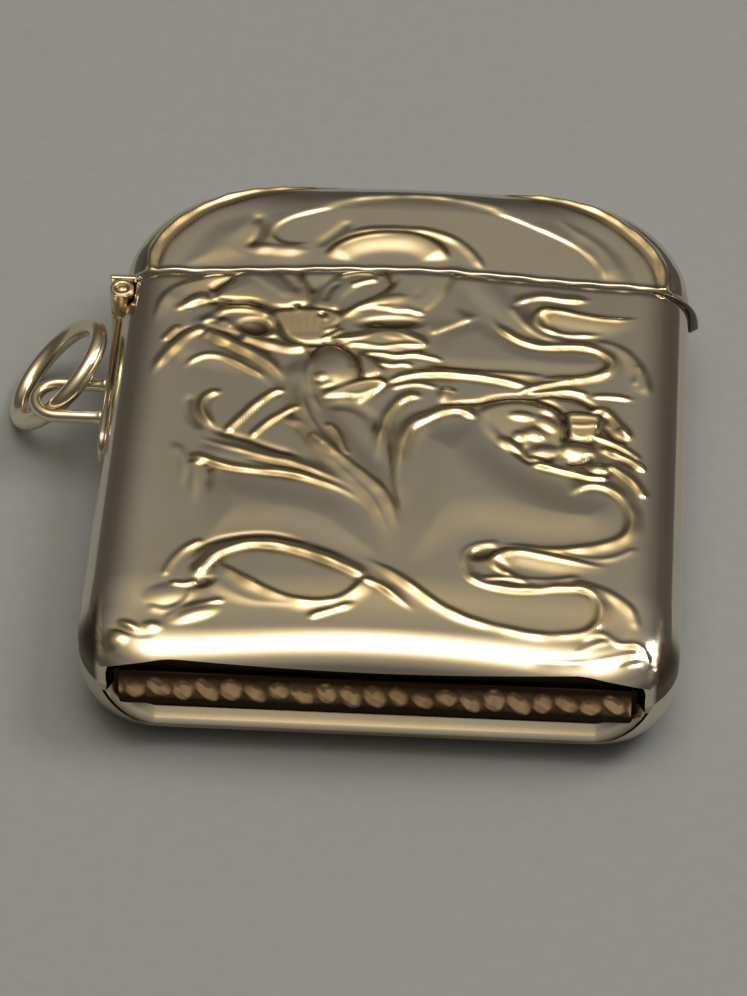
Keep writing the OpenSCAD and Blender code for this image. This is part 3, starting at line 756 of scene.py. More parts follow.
edge([(4.9, -14.4), (5.8, -15.4), (6.9, -15.85), (8.4, -16), (9.9, -15.8), (11.2, -15.5),
      (12.6, -15.45), (13.5, -15.9), (13.95, -17), (13.7, -18.3), (12.8, -19.1), (10.1, -19.55),
      (7.5, -19.2), (5.5, -18.7), (3.8, -17.8), (2.4, -16.7), (0.4, -15.1), (-1.2, -14.1)], 0.15, 0.6,
     0.5, (0.05, 0.1))
edge([(16.4, -18.6), (15.8, -17), (14.8, -16), (13.6, -15.3), (11.8, -14.95)], 0.08, 0.6, 0.6)
print("strokes so far:", len(strokes))

# %% Lower left leaf and the base corners
edge([(-11.9, -15.8), (-11.3, -14.8), (-10.7, -13.9), (-10, -13.35), (-9, -12.95), (-8, -12.85),
      (-6.5, -13.05), (-5, -13.55), (-3.5, -14.25), (-2, -15.05), (-0.8, -15.8)], 0.22, 0.6, 0.8,
     (0.06, 0.06))
edge([(-0.9, -15.8), (-1.4, -16.6), (-2.1, -17.3), (-3, -17.75), (-4.5, -17.85), (-6, -17.45),
      (-7.5, -16.65), (-9, -15.65), (-10.2, -14.7), (-10.7, -14.1)], 0.13, 0.9, 0.32, (0.06, 0.15))
area([(-10.8, -14.6), (-9.6, -15.8), (-7.6, -17.2), (-5, -18.2), (-8, -18.4), (-10.4, -17.4),
      (-11.4, -16)], 0.06, 0.9)
edge([(-1.4, -15.8), (0, -16.45), (1, -17.25), (2.4, -18.5)], 0.13, 0.35, 0.5, (0.1, 0.4))
edge([(-4.5, -19.2), (-3, -18.6), (-1.4, -17.9)], 0.16, 0.25, 0.55, (0.15, 0.25))
edge([(-13.8, -15.8), (-13.3, -14.4), (-12.6, -13.3), (-11.4, -12.4)], 0.09, 0.35, 0.4)
ridge([(-12.6, -14.4), (-11.3, -12.9), (-9.5, -12.2), (-7.2, -12.1), (-4.6, -12.9)], -0.06, 0.4, 0.5)
dome(-13.4, -17.3, 1.7, 1.1, 0.1, 10)
edge([(-13.3, -16.3), (-12.3, -16.4), (-11.5, -16.1)], 0.12, 0.3, 0.35)
edge([(-11.9, -16.6), (-12, -17.4), (-12.5, -18.1), (-13.4, -18.5), (-14.6, -18.2)], 0.08, 0.5, 0.3)
dome(-11.1, -16.2, 0.9, 0.5, -0.12, 25)
dome(-11.6, -18.9, 1.9, 0.75, 0.2, 20)
edge([(-13.4, -19.3), (-12.4, -18.5), (-11, -18), (-9.6, -17.7)], 0.1, 0.3, 0.4)
dome(-14.1, -19.9, 0.75, 0.5, 0.18)
dome(-15.6, -19.9, 1.0, 0.4, 0.2, -25)
dome(-16.6, -21, 1.1, 0.85, 0.2, 30)
ridge([(-17.4, -19.8), (-16.2, -20.2), (-15, -20.7), (-13.6, -20.6)], -0.1, 0.25, 0.25)
edge([(16.8, -20.2), (14.6, -21), (13.1, -21.45), (11.4, -21.65), (9.3, -21.7)], 0.1, 0.6, 0.35)
edge([(12.7, -19.9), (13.4, -19.3), (14.2, -19.1), (15.2, -19.8), (16.4, -19.7), (17.1, -20.5),
      (18, -21.8)], 0.13, 0.3, 0.45)
edge([(12.4, -20.9), (13.6, -20), (14.6, -19.6)], 0.1, 0.35, 0.35)
ridge([(15, -21.6), (16, -21), (17, -20.6)], 0.1, 0.28, 0.28)
print("strokes so far:", len(strokes))

# %% [markdown]
# ### Painted shade and painted golden reflection
# Dark patches of painted shade lie in the deepest folds, and patches of painted golden reflection lie
# on the flower's throat and on the buds. Both are soft ovals on two masks of their own, since depth
# alone doesn't place them.

# %% Painted shade and painted golden reflection
# Patches of painted shade in the folds and valleys.
for patch in ((-11.6, 9.6, 2.0, 0.45, 1.0, 2), (-9.9, 7.5, 1.6, 0.9, 1.3, -15),
              (-0.5, 7.75, 2.6, 0.7, 1.1, 4), (-13.4, 8.4, 0.9, 0.4, 0.7, 30),
              (-12.4, 11.3, 1.2, 0.4, 0.6, 35), (-5.7, 4.6, 0.5, 1.2, 0.7, 0),
              (-2.6, 3.4, 0.35, 1.3, 0.7, 15), (0.4, 5.25, 2.0, 0.22, 0.6, -4),
              (2.2, 4.25, 1.2, 0.25, 0.6, 0), (11.1, -1, 0.35, 1.7, 0.9, 0),
              (12.2, -2.15, 0.9, 0.3, 0.8, 0), (13.2, -3.4, 0.9, 0.45, 0.8, -20),
              (14.2, -1.6, 1.1, 0.28, 0.8, -35), (15.2, -3.9, 0.9, 0.28, 0.7, -40),
              (6.3, -13, 1.2, 0.6, 0.7, 35), (8.3, 9.4, 0.5, 1.2, 0.6, 0),
              (-9.4, -12.4, 2.8, 0.5, 0.55, 8), (-4.2, -13.2, 2.6, 0.4, 0.5, -22),
              (-11.2, -16.2, 1.1, 0.6, 0.7, 25), (3.8, 3.7, 3.4, 0.25, 0.5, 0),
              (8, 1.7, 2.8, 0.3, 0.6, 10), (0.2, -4.6, 0.35, 3.2, 0.5, 3),
              (-8.6, -3.95, 3.4, 0.3, 0.55, -24), (-12.9, -0.4, 0.5, 1.5, 0.4, 0),
              (-4.4, 7.6, 0.6, 0.5, 0.5, 40), (-6.6, 5.6, 1.6, 0.22, 0.6, -5),
              (12.2, 1.4, 1.4, 0.4, 0.6, -15), (-8.9, 9.5, 1.0, 0.35, 0.8, -25),
              (-6.9, 12.6, 0.3, 1.6, 0.5, -10), (-0.9, 12.2, 0.35, 1.2, 0.5, 5),
              (-11.8, 8.1, 0.9, 0.35, 0.7, 15), (-3.4, 9.1, 1.2, 0.2, 0.6, 20),
              (0.2, 8.6, 1.8, 0.2, 0.6, -4)):
    paint_patch(painted_shade_patches, *patch)
# Patches of painted golden reflection on the throat, petals and buds.
for patch in ((-6.3, 7.4, 2.2, 1.9, 0.9, 0), (-1.4, 9.7, 2.4, 0.8, 0.6, 12),
              (-1.2, 5.9, 3.2, 1.2, 0.6, 0), (-11.4, 6.2, 2.6, 0.9, 0.5, -35),
              (12.2, -0.9, 1.5, 1.6, 1.0, 0), (12, -3, 1.6, 1.2, 1.0, 0), (9.2, 9.4, 1.6, 1.2, 0.7, 0),
              (-11, -14.2, 1.8, 1.0, 0.7, 35), (-2.4, 1.3, 2.2, 1.0, 0.5, 20),
              (-15.6, 12.4, 1.6, 1.4, 0.8, 0)):
    paint_patch(painted_gold_patches, *patch)
print(f"shade_painted_on {np.mean(painted_shade_patches > 0):.0%} and gold_painted_on {np.mean(painted_gold_patches > 0):.0%} of the map")

# %% [markdown]
# ## From height map to recess mask
# Polish reaches what stands proud of its surroundings. Comparing a map with a blurred copy of itself
# tells high from low, and that difference becomes the mask the finish uses for dark recesses, partly
# brown patina and partly painted shade. How much the height changes close by gives the second mask, a
# painted golden reflection round the ornament.


# %% Blur and masks
def blur(field, width):
    """A repeated box blur, close to a bell curve, along both directions."""
    reach = max(1, round(width / RASTER))
    kernel = np.ones(2 * reach + 1) / (2 * reach + 1)
    for _ in range(2):
        for axis in (0, 1):
            field = np.apply_along_axis(np.convolve, axis, field, kernel, "same")
    return field


HIGHEST, DEEPEST = 0.38, 0.3
HOLLOW_REACH, HOLLOW_FROM, HOLLOW_OVER = 0.4, 0.01, 0.05
GOLD_REACH, GOLD_FROM, GOLD_OVER = 0.35, 0.05, 0.22
SHADE_PATCH_SHARE = 0.85
# Per map: a recess mask of patina with painted shade and a slope mask of painted golden reflection; the
# body's also take the patches of painted shade and of painted golden reflection.
patina_and_shade_maps, gold_reflection_maps = {}, {}
for name, made in maps.items():
    made[:] = blur(made * RELIEF_SCALE, 0.06)
    made[:] = np.where(made > 0, HIGHEST * np.tanh(made / HIGHEST), DEEPEST * np.tanh(made / DEEPEST))
    patina_and_shade_maps[name] = ease((blur(made, HOLLOW_REACH) - made - HOLLOW_FROM) / HOLLOW_OVER)
    slope = np.hypot(*np.gradient(made, RASTER))
    gold_reflection_maps[name] = ease((blur(slope, GOLD_REACH) - GOLD_FROM) / GOLD_OVER)
    print(f"{name}: relief from {made.min():.2f} to {made.max():.2f} mm")
patina_and_shade_maps["body"] = np.clip(patina_and_shade_maps["body"] + SHADE_PATCH_SHARE * painted_shade_patches, 0, 1)
gold_reflection_maps["body"] = np.clip(gold_reflection_maps["body"] + painted_gold_patches, 0, 1)

ORNAMENT_SHIFT = 0.4


def look_up(field, x, y):
    """Bilinear reading of a raster at points of the case's plan."""
    u = np.clip((x + HALF_WIDE) / RASTER, 0, field.shape[1] - 1.001)
    v = np.clip((y - ORNAMENT_SHIFT + HALF_TALL) / RASTER, 0, field.shape[0] - 1.001)
    i, j = u.astype(int), v.astype(int)
    u, v = u - i, v - j
    return (field[j, i] * (1 - u) * (1 - v) + field[j, i + 1] * u * (1 - v)
            + field[j + 1, i] * (1 - u) * v + field[j + 1, i + 1] * u * v)


# %% [markdown]
# ## The shells
# Each shell is one sheet: a face, an edge rolled over a quarter turn and a short straight wall down
# to the split line. The sheet is laid out flat as a grid with rounded corners and then rolled up:
# a point beyond the flat face by some distance travels that far round the roll. Near the corners
# the rows follow the corner's arc. The inside is a coarser copy, joined to the outside all round,
# so the shell is a closed body with a real thickness. Extruding a profile would be quicker, but it
# leaves no fine grid on the face for the ornament.

# %% Sheet grids
COARSE = 5
FACE_SHARE = 0.765
FINE_COLUMNS, PLAIN_COLUMNS = (105, 20), (30, 25)
WALL_DOWN = ROLL * math.pi / 2 + (ROLL_Z - SPLIT_Z)


def sheet_columns(face_count, roll_count):
    """Shares of the half width, close together over the face and wider apart on the roll."""
    face = np.linspace(0, FACE_SHARE, face_count + 1)
    roll = np.linspace(FACE_SHARE, 1, roll_count + 1)[1:]
    half = np.concatenate([face, roll])
    return np.concatenate([-half[:0:-1], half])


def sheet_rows(mouth, end, corner, towards, straight_step, arc_steps):
    """Rows from the mouth to the closed end: their place and half width, laid out flat."""
    core_x, core_y = SIDE_X - corner, end - towards * corner
    out = corner - ROLL + WALL_DOWN
    straight = max(1, round(abs(core_y - mouth) / straight_step))
    straight += -(straight + arc_steps) % COARSE
    angle = np.linspace(0, math.pi / 2, arc_steps + 1)[1:]
    place = np.concatenate([np.linspace(mouth, core_y, straight + 1),
                            core_y + towards * out * np.sin(angle)])
    half = np.concatenate([np.full(straight + 1, core_x + out), core_x + out * np.cos(angle)])
    return place, half


print("fine columns per row:", len(sheet_columns(*FINE_COLUMNS)))

# %% Rolling up
FADE_FROM, FADE_OVER = 0.9, 0.6
SQUARER, SQUARER_OVER = 0.3, 3
LID_RISE, LID_RISE_OVER = 0.045, 6


def roll_up(a, b, end, corner, towards, ground, lift, inset):
    """Rolls flat sheet coordinates into the shell; lift raises the ornament.

    The ornament dies out down the roll, so the two halves meet flush at the split line. The lid's
    roll grows squarer away from the seam, so its rim stands close to its outline.
    """
    core_x, core_y, flat = SIDE_X - corner, end - towards * corner, corner - ROLL
    ex = np.clip(np.abs(a) - core_x, 0, None) * np.sign(a)
    ey = np.clip((b - core_y) * towards, 0, None) * towards
    far = np.hypot(ex, ey)
    beyond = np.clip(far - flat, 0, None)
    nx, ny = ex / np.maximum(far, 1e-9), ey / np.maximum(far, 1e-9)
    angle = np.minimum(beyond / ROLL, math.pi / 2)
    lift = lift * (1 - ease((angle - FADE_FROM) / FADE_OVER))
    base_x, base_y = a - nx * beyond, b - ny * beyond
    top = ground(base_x, base_y) - inset
    power = 1 - SQUARER * ease((b - LID_Y) / SQUARER_OVER)
    reach = (ROLL - inset + lift) * np.sin(angle) ** power
    x, y = base_x + nx * reach, base_y + ny * reach
    z = ROLL_Z + (top - ROLL_Z + lift) * np.cos(angle) ** power
    z = z - np.clip(beyond - ROLL * math.pi / 2, 0, None)
    return np.stack([x, y, np.minimum(z, FACE_Z - inset)], -1)


def domed(x, y):
    """Ground level of the worked face: higher along the middle, and rising a little up the lid."""
    rise = np.clip(1 - (x / FLAT_X) ** 2, 0, 1) ** 2
    up_the_lid = LID_RISE * np.clip(y - LID_Y, 0, LID_RISE_OVER)
    return GROUND_SIDE + (GROUND_MIDDLE - GROUND_SIDE) * rise + up_the_lid


def level_face(x, y):
    """Ground level of a plain face."""
    return np.full_like(x, FACE_Z)


print("ground from", GROUND_SIDE, "to", GROUND_MIDDLE, "mm")


# %% Faces of a grid
def grid_faces(first, rows, cols, flip):
    """Four-sided faces of a grid whose points start at a given number."""
    n = first + np.arange(rows * cols).reshape(rows, cols)
    quads = np.stack([n[:-1, :-1], n[:-1, 1:], n[1:, 1:], n[1:, :-1]], -1).reshape(-1, 4)
    return (quads[:, ::-1] if flip else quads).tolist(), n


def zip_edges(fine, coarse, flip):
    """Triangles between a fine edge and a coarse one that share every few points."""
    faces = []
    for k in range(len(coarse) - 1):
        part = fine[k * COARSE:(k + 1) * COARSE + 1]
        middle = COARSE // 2
        for i in range(COARSE):
            hub = coarse[k] if i < middle + 1 else coarse[k + 1]
            faces.append((part[i], part[i + 1], hub))
        faces.append((coarse[k], part[middle + 1], coarse[k + 1]))
    return [f[::-1] for f in faces] if flip else faces


print("faces of a small grid:", len(grid_faces(0, 3, 3, False)[0]))

# %% [markdown]
# ### Closing a shell
# The outside, the inside and a strip of triangles round the rim become one closed mesh. A Solidify
# modifier would add the thickness too, but it would repeat the fine grid inside, where nobody sees it.


# %% Shell builder
def face_outwards(mesh):
    """Turns every face of a closed mesh to the outside."""
    work = bmesh.new()
    work.from_mesh(mesh)
    bmesh.ops.recalc_face_normals(work, faces=work.faces)
    if work.calc_volume(signed=True) < 0:
        bmesh.ops.reverse_faces(work, faces=work.faces)
    work.to_mesh(mesh)
    work.free()


def new_piece(name, points, faces, finish, body, slot):
    """A smooth mesh object in metres that rides a body and takes a finish."""
    mesh = bpy.data.meshes.new(name)
    mesh.from_pydata((np.asarray(points) * MM).tolist(), [], faces)
    mesh.validate()
    face_outwards(mesh)
    mesh.polygons.foreach_set("use_smooth", [True] * len(mesh.polygons))
    mesh.materials.append(finish)
    made = bpy.data.objects.new(name, mesh)
    scene.collection.objects.link(made)
    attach(made, body)
    return made


def shell(mouth, end, corner, towards, ground, lift_at, rows, columns, back_side=False):
    """Points and faces of a closed shell; back_side turns it over onto the floor."""
    place, half = sheet_rows(mouth, end, corner, towards, *rows)
    share = sheet_columns(*columns)
    a, b = half[:, None] * share[None, :], np.repeat(place[:, None], len(share), 1)
    outer = roll_up(a, b, end, corner, towards, ground, lift_at(a, b), 0)
    pick = np.ix_(range(0, len(place), COARSE), range(0, len(share), COARSE))
    inner = roll_up(a[pick], b[pick], end, corner, towards, ground, 0.0, WALL)
    if back_side:
        outer[..., 2], inner[..., 2] = FACE_Z - outer[..., 2], FACE_Z - inner[..., 2]
    turn = (towards > 0) == back_side
    faces, n_out = grid_faces(0, *outer.shape[:2], not turn)
    more, n_in = grid_faces(outer.shape[0] * outer.shape[1], *inner.shape[:2], turn)
    faces += more
    for side, flip in (((0, slice(None)), turn), ((-1, slice(None)), not turn),
                       ((slice(None), 0), not turn), ((slice(None), -1), turn)):
        faces += zip_edges(n_out[side].tolist(), n_in[side].tolist(), not flip)
    return np.concatenate([outer.reshape(-1, 3), inner.reshape(-1, 3)]), faces


print("shell builder ready")

# %% [markdown]
# ## Small solids
# The fittings are wires, bars, plates and turned barrels. All of them can be seen as a row of rings
# with a skin between them, so one function lofts rings, and small helpers make the rings. Curves
# with a bevel would do for the wires, but not for a bar with softened edges.

# %% Rings and lofts
def loft(rings, loop=False):
    """A skin over rings with equal numbers of points; open ends are capped."""
    rings = np.asarray(rings, float)
    count, sides = rings.shape[:2]
    n = np.arange(count * sides).reshape(count, sides)
    after = np.roll(n, -1, 0) if loop else n[1:]
    first = n if loop else n[:-1]
    quads = np.stack([first, np.roll(first, -1, 1), np.roll(after, -1, 1), after], -1)
    faces = quads.reshape(-1, 4).tolist()
    if not loop:
        faces += [n[0, ::-1].tolist(), n[-1].tolist()]
    return rings.reshape(-1, 3), faces


def soft_bar(low, high, soft, corner=5):
    """A block with softened edges, lofted along its longest side."""
    low, high = np.array(low, float), np.array(high, float)
    long = int(np.argmax(high - low))
    u, v = [k for k in range(3) if k != long]
    middle, half = (low + high) / 2, (high - low) / 2
    rings = []
    bend = np.linspace(0, math.pi / 2, 4)
    ends = [(low[long] + soft * (1 - math.sin(t)), soft * (1 - math.cos(t))) for t in bend[::-1]]
    ends += [(high[long] - soft * (1 - math.sin(t)), soft * (1 - math.cos(t))) for t in bend]
    for at, inset in ends:
        ring = []
        for quarter in range(4):
            su, sv = ((1, 1), (-1, 1), (-1, -1), (1, -1))[quarter]
            round_r = max(soft - inset, 0.02)
            for t in np.linspace(0, math.pi / 2, corner) + quarter * math.pi / 2:
                point = np.zeros(3)
                point[long] = at
                point[u] = middle[u] + su * (half[u] - inset - round_r) + round_r * math.cos(t)
                point[v] = middle[v] + sv * (half[v] - inset - round_r) + round_r * math.sin(t)
                ring.append(point)
        rings.append(ring)
    return loft(rings)


print("points of a bar:", len(soft_bar((0, 0, 0), (1, 1, 3), 0.1)[0]))


# %% Wires and turned parts
def wire(path, radii, square_to, sides=24, loop=False):
    """A round wire along a flat curve; square_to is the direction square to the curve's plane."""
    path, square_to = np.asarray(path, float), np.asarray(square_to, float)
    ahead = np.roll(path, -1, 0) - np.roll(path, 1, 0)
    if not loop:
        ahead[0], ahead[-1] = path[1] - path[0], path[-1] - path[-2]
    ahead /= np.linalg.norm(ahead, axis=1)[:, None]
    out = np.cross(ahead, square_to)
    t = np.linspace(0, 2 * math.pi, sides, endpoint=False)[None, :, None]
    ring = np.cos(t) * square_to + np.sin(t) * out[:, None]
    return loft(path[:, None] + np.reshape(radii, (-1, 1, 1)) * ring, loop)


def turned(profile, x, y, steps=40):
    """A closed profile of radius and height turned about an upright axis."""
    t = np.linspace(0, 2 * math.pi, steps, endpoint=False)
    profile = np.array(profile, float)
    rings = [np.stack([x + profile[:, 0] * math.cos(a), y + profile[:, 0] * math.sin(a),
                       profile[:, 1]], -1) for a in t]
    return loft(rings, True)


print("wire and lathe ready")


# %% Cutting and marking
def combine(piece, points, faces, operation):
    """Adds a closed solid to a piece, or cuts it away."""
    mesh = bpy.data.meshes.new("helper")
    mesh.from_pydata((np.asarray(points) * MM).tolist(), [], faces)
    face_outwards(mesh)
    mesh.polygons.foreach_set("use_smooth", [True] * len(mesh.polygons))
    helper = bpy.data.objects.new("helper", mesh)
    scene.collection.objects.link(helper)
    step = piece.modifiers.new("combine", "BOOLEAN")
    step.operation, step.solver, step.object = operation, "MANIFOLD", helper
    bpy.context.view_layer.update()
    graph = bpy.context.evaluated_depsgraph_get()
    result = bpy.data.meshes.new_from_object(piece.evaluated_get(graph))
    piece.modifiers.clear()
    old, piece.data = piece.data, result
    bpy.data.meshes.remove(old)
    bpy.data.objects.remove(helper)
    bpy.data.meshes.remove(mesh)


def crisp(piece, angle=60):
    """Keeps the edges that a cut has left sharp, and all others smooth."""
    piece.data.set_sharp_from_angle(angle=math.radians(angle))


def block(low, high):
    """Points and faces of a plain box, used only as a cutter."""
    points = [(x, y, z) for x in (low[0], high[0]) for y in (low[1], high[1]) for z in (low[2], high[2])]
    return points, [(0, 1, 3, 2), (4, 6, 7, 5), (0, 4, 5, 1), (2, 3, 7, 6), (0, 2, 6, 4), (1, 5, 7, 3)]


def mark(piece, **readers):
    """Stores masks on every point of a piece, worked out from its place in millimetres."""
    points = np.zeros(len(piece.data.vertices) * 3, np.float32)
    piece.data.vertices.foreach_get("co", points)
    points = points.reshape(-1, 3) / MM
    for name, reader in readers.items():
        mask = piece.data.attributes.new(name, "FLOAT", "POINT")
        mask.data.foreach_set("value", reader(points).astype(np.float32))


print("solid helpers ready")

# %% [markdown]
# ## The worked front of the body
# The front takes its height from the map. The hinge's seat and the striker's slot are then cut out
# with a box and with a long lens that narrows to its two ends. Their sizes come from the nodes that
# sit there, and the edges stay as sharp as a cut leaves them.

# %% Cutters for the body
leaf_low, leaf_high = box_mm("lid_hinge_leaf")
knuckle_low, knuckle_high = box_mm("body_knuckles")
strike_low, strike_high = box_mm("striker_backing")
HINGE_CUT = ((-SIDE_X - 2, knuckle_low[1] - 0.02, knuckle_low[2]),
             (leaf_high[0] + 0.02, MOUTH_Y + 1, knuckle_high[2]))
SLOT_HALF = SIDE_X - BASE_CORNER
SLOT_TIP_Z, SLOT_WIDE_X, SLOT_CURVE = 5.1, 12.5, 1.7
FRONT_TIP_X, BACK_TIP_X, BACK_SLOT_Z = 18.0, 17.6, 1.6


def slot_edge(x, edge_z, tip_x):
    """Height of one edge of the striker's slot, which closes in a curve towards its tips."""
    t = np.clip((np.abs(x) - SLOT_WIDE_X) / (tip_x - SLOT_WIDE_X), 0, 1)
    open_by = np.clip((1 - t ** SLOT_CURVE) ** (1 / SLOT_CURVE), 0.05, 1)
    return SLOT_TIP_Z + (edge_z - SLOT_TIP_Z) * open_by


def slot(low_z, high_z, tip_x):
    """Points and faces of the cutter for the striker's slot."""
    x = np.concatenate([np.linspace(-tip_x, -SLOT_WIDE_X, 30), np.linspace(SLOT_WIDE_X, tip_x, 30)])
    rings = [[(u, BASE_Y - 1, b), (u, strike_low[1], b), (u, strike_low[1], h), (u, BASE_Y - 1, h)]
             for u, b, h in zip(x, slot_edge(x, low_z, tip_x), slot_edge(x, high_z, tip_x))]
    return loft(rings)


print("slot narrows from x", SLOT_WIDE_X, "to", FRONT_TIP_X)


# %% Body front
def worked(name):
    """Readers of the two masks for the front that carries a named map: recess patina with painted shade,
    and painted golden reflection.
    """
    def on_face(points):
        inside = points[:, 2] < domed(points[:, 0], points[:, 1]) - WALL + 0.03
        on_roll = (np.abs(points[:, 0]) > FLAT_X - 0.3) | (points[:, 1] < BASE_Y + ROLL - 0.5)
        return ~inside | on_roll | (points[:, 1] > TOP_Y - ROLL)

    # Outside: recess patina with painted shade from the map; inside faces: a fixed darker share.
    def hollow(points):
        reading = look_up(patina_and_shade_maps[name], points[:, 0], points[:, 1]) * 0.9
        return np.where(on_face(points), reading, 0.35)

    # The painted golden reflection, only on the outside.
    def warm(points):
        reading = look_up(gold_reflection_maps[name], points[:, 0], points[:, 1])
        return np.where(on_face(points), reading, 0.0)
    return {"hollow": hollow, "warm": warm}


SEAM_DIP, SEAM_DIP_WIDE = 0.08, 0.3


def body_lift(a, b):
    """Ornament of the body, let down a little where the lid's edge meets it."""
    return look_up(maps["body"], a, b) - SEAM_DIP * np.exp(-((b - MOUTH_Y) / SEAM_DIP_WIDE) ** 2)


points, faces = shell(MOUTH_Y, BASE_Y, BASE_CORNER, -1, domed, body_lift,
                      rows=(0.112, 80), columns=FINE_COLUMNS)
body_front = new_piece("body_front_worked", points, faces, SHEET, "case_body", "silver_sheet")
combine(body_front, *block(*HINGE_CUT), "DIFFERENCE")
combine(body_front, *slot(strike_low[2], strike_high[2] + 0.02, FRONT_TIP_X), "DIFFERENCE")
crisp(body_front)
mark(body_front, **worked("body"))
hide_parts("body_front")
print("body front faces:", len(body_front.data.polygons))

# %% [markdown]
# ## The worked front of the lid
# The lid carries on the ornament over the seam. Its lower edge is turned over slightly, which is the
# bright line along the seam. A bead of its own could be laid there, but as a part of the lift it
# blends into the sheet.

# %% Lid front
BEAD_HIGH, BEAD_AT, EDGE_DIP, EDGE_DIP_WIDE = 0.09, 0.22, 0.12, 0.1
KNOCK_HIGH, KNOCK_X, KNOCK_WIDE, KNOCK_TALL = 0.12, 3.3, 0.8, 0.5


def lid_lift(a, b):
    """Ornament of the lid with an uneven bead and a small knock along its lower edge."""
    up = b - LID_Y
    bead = BEAD_HIGH * np.exp(-((up - BEAD_AT) / BEAD_AT) ** 2)
    bead = bead - EDGE_DIP * np.exp(-(up / EDGE_DIP_WIDE) ** 2)
    bead = bead * (1 + 0.4 * np.sin(1.9 * a) * np.sin(0.83 * a + 1))
    knock = KNOCK_HIGH * np.exp(-((a - KNOCK_X) / KNOCK_WIDE) ** 2 - (up / KNOCK_TALL) ** 2)
    return look_up(maps["lid"], a, b) + bead + knock


LID_HINGE_CUT = ((-SIDE_X - 2, LID_Y - 1, leaf_low[2] - 0.02),
                 (leaf_high[0] + 0.02, leaf_high[1], leaf_high[2] + 0.02))
points, faces = shell(LID_Y, TOP_Y, TOP_CORNER, 1, domed, lid_lift,
                      rows=(0.07, 165), columns=FINE_COLUMNS)
lid_front = new_piece("lid_front_worked", points, faces, SHEET, "lid", "silver_sheet")
combine(lid_front, *block(*LID_HINGE_CUT), "DIFFERENCE")
crisp(lid_front)
mark(lid_front, **worked("lid"))
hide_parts("lid_front")
print("lid front faces:", len(lid_front.data.polygons))

# %% [markdown]
# ## The plain backs
# The back lies on the floor and is drawn plain, because the view doesn't show it. It is made by the
# same sheet function with a level face, turned over. Its lip along the striker is turned up to a
# sloping bead, the golden line under the row of ribs.


# %% Body back and lid back
def no_lift(a, b):
    """No ornament at all."""
    return np.zeros_like(a)


LIP_CORE, LIP_WIDE, LIP_MIDDLE = 3.72, 0.96, 4.6
LIP_SPREAD, LIP_TRIM_X = 0.21, 15.6


def slot_lip(limit):
    """The turned-up lip under the striker, a sloping bead that follows the base and its two corners."""
    section = [(LIP_CORE, 2.42), (4.0, 2.2), (4.3, 1.98), (4.62, 1.79), (4.68, 1.7), (4.56, 1.5),
               (4.3, 1.3), (3.9, 1.25), (LIP_CORE, 1.5)]
    arc = np.radians(np.linspace(40, 0, 16))
    stations = [(-SLOT_HALF, -t) for t in arc] + [(SLOT_HALF, t) for t in arc[::-1]]
    rings = []
    for x, t in stations:
        lift = float(slot_edge(x + LIP_MIDDLE * math.sin(t), BACK_SLOT_Z, BACK_TIP_X)) - BACK_SLOT_Z
        spread = [(o + LIP_SPREAD * lift * (o - LIP_CORE) / LIP_WIDE, z + lift) for o, z in section]
        ring = [(x + o * math.sin(t), BASE_Y + BASE_CORNER - o * math.cos(t), z) for o, z in spread]
        rings.append([(px, min(py, limit) if abs(px) < LIP_TRIM_X else py, pz) for px, py, pz in ring])
    return loft(rings)


points, faces = shell(MOUTH_Y, BASE_Y, BASE_CORNER, -1, level_face, no_lift,
                      rows=(0.8, 40), columns=PLAIN_COLUMNS, back_side=True)
body_back = new_piece("body_back_plain", points, faces, SHEET, "case_body", "silver_sheet")
combine(body_back, *block(*HINGE_CUT), "DIFFERENCE")
combine(body_back, *slot(BACK_SLOT_Z, strike_high[2], BACK_TIP_X), "DIFFERENCE")
combine(body_back, *slot_lip(strike_low[1] - 0.02), "UNION")
crisp(body_back, 35)
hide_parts("body_back")
points, faces = shell(LID_Y, TOP_Y, TOP_CORNER, 1, level_face, no_lift,
                      rows=(0.35, 60), columns=PLAIN_COLUMNS, back_side=True)
lid_back = new_piece("lid_back_plain", points, faces, SHEET, "lid", "silver_sheet")
combine(lid_back, *block(*LID_HINGE_CUT), "DIFFERENCE")
crisp(lid_back)
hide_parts("lid_back")
print("back faces:", len(body_back.data.polygons) + len(lid_back.data.polygons))

# %% [markdown]
# ## The collar inside the mouth
# A thin band is soldered inside the body and stands up into the lid, which closes over it. Its
# outline is the case's own section, a little smaller, so the sheet function gives it: one row of the
# front and one of the back make a closed ring, and six such rings make the band.

# %% Mouth collar
collar_low, collar_high = box_mm("mouth_collar")


def case_section(y, inset, count=60):
    """A ring round the inside of the case at one height, front and back in one loop."""
    half = FLAT_X + WALL_DOWN
    a = np.linspace(-half, half, count)
    b = np.full_like(a, MOUTH_Y)
    front = roll_up(a, b, BASE_Y, BASE_CORNER, -1, domed, 0.0, inset)
    rear = roll_up(a[::-1], b, BASE_Y, BASE_CORNER, -1, level_face, 0.0, inset)
    rear[:, 2] = FACE_Z - rear[:, 2]
    ring = np.concatenate([front[:-1], rear[:-1]])
    ring[:, 1] = y
    return ring


OUTER, INNER_FACE = WALL + 0.16, WALL + 0.46
rings = [case_section(collar_low[1], OUTER), case_section(collar_high[1] - 0.08, OUTER),
         case_section(collar_high[1], OUTER + 0.08), case_section(collar_high[1], INNER_FACE - 0.06),
         case_section(collar_high[1] - 0.06, INNER_FACE), case_section(collar_low[1], INNER_FACE)]
points, faces = loft(np.array(rings), True)
collar = new_piece("mouth_collar_band", points, faces, INNER, "case_body", "silver_inner")
combine(collar, *block((-SIDE_X - 1, collar_low[1] - 1, knuckle_low[2] - 0.2),
                       (-SIDE_X + 2, collar_high[1] + 1, knuckle_high[2] + 0.2)), "DIFFERENCE")
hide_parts("mouth_collar")
print("collar faces:", len(collar.data.polygons))

# %% [markdown]
# ## The striker
# The base has a sunk strip with cross ribs on which a match is struck. The ribs are drawn as a height
# over a grid: worn half rounds side by side, a little askew, so they read as a row of beads. Copies of
# one bead would be quicker, but every rib would be worn alike.

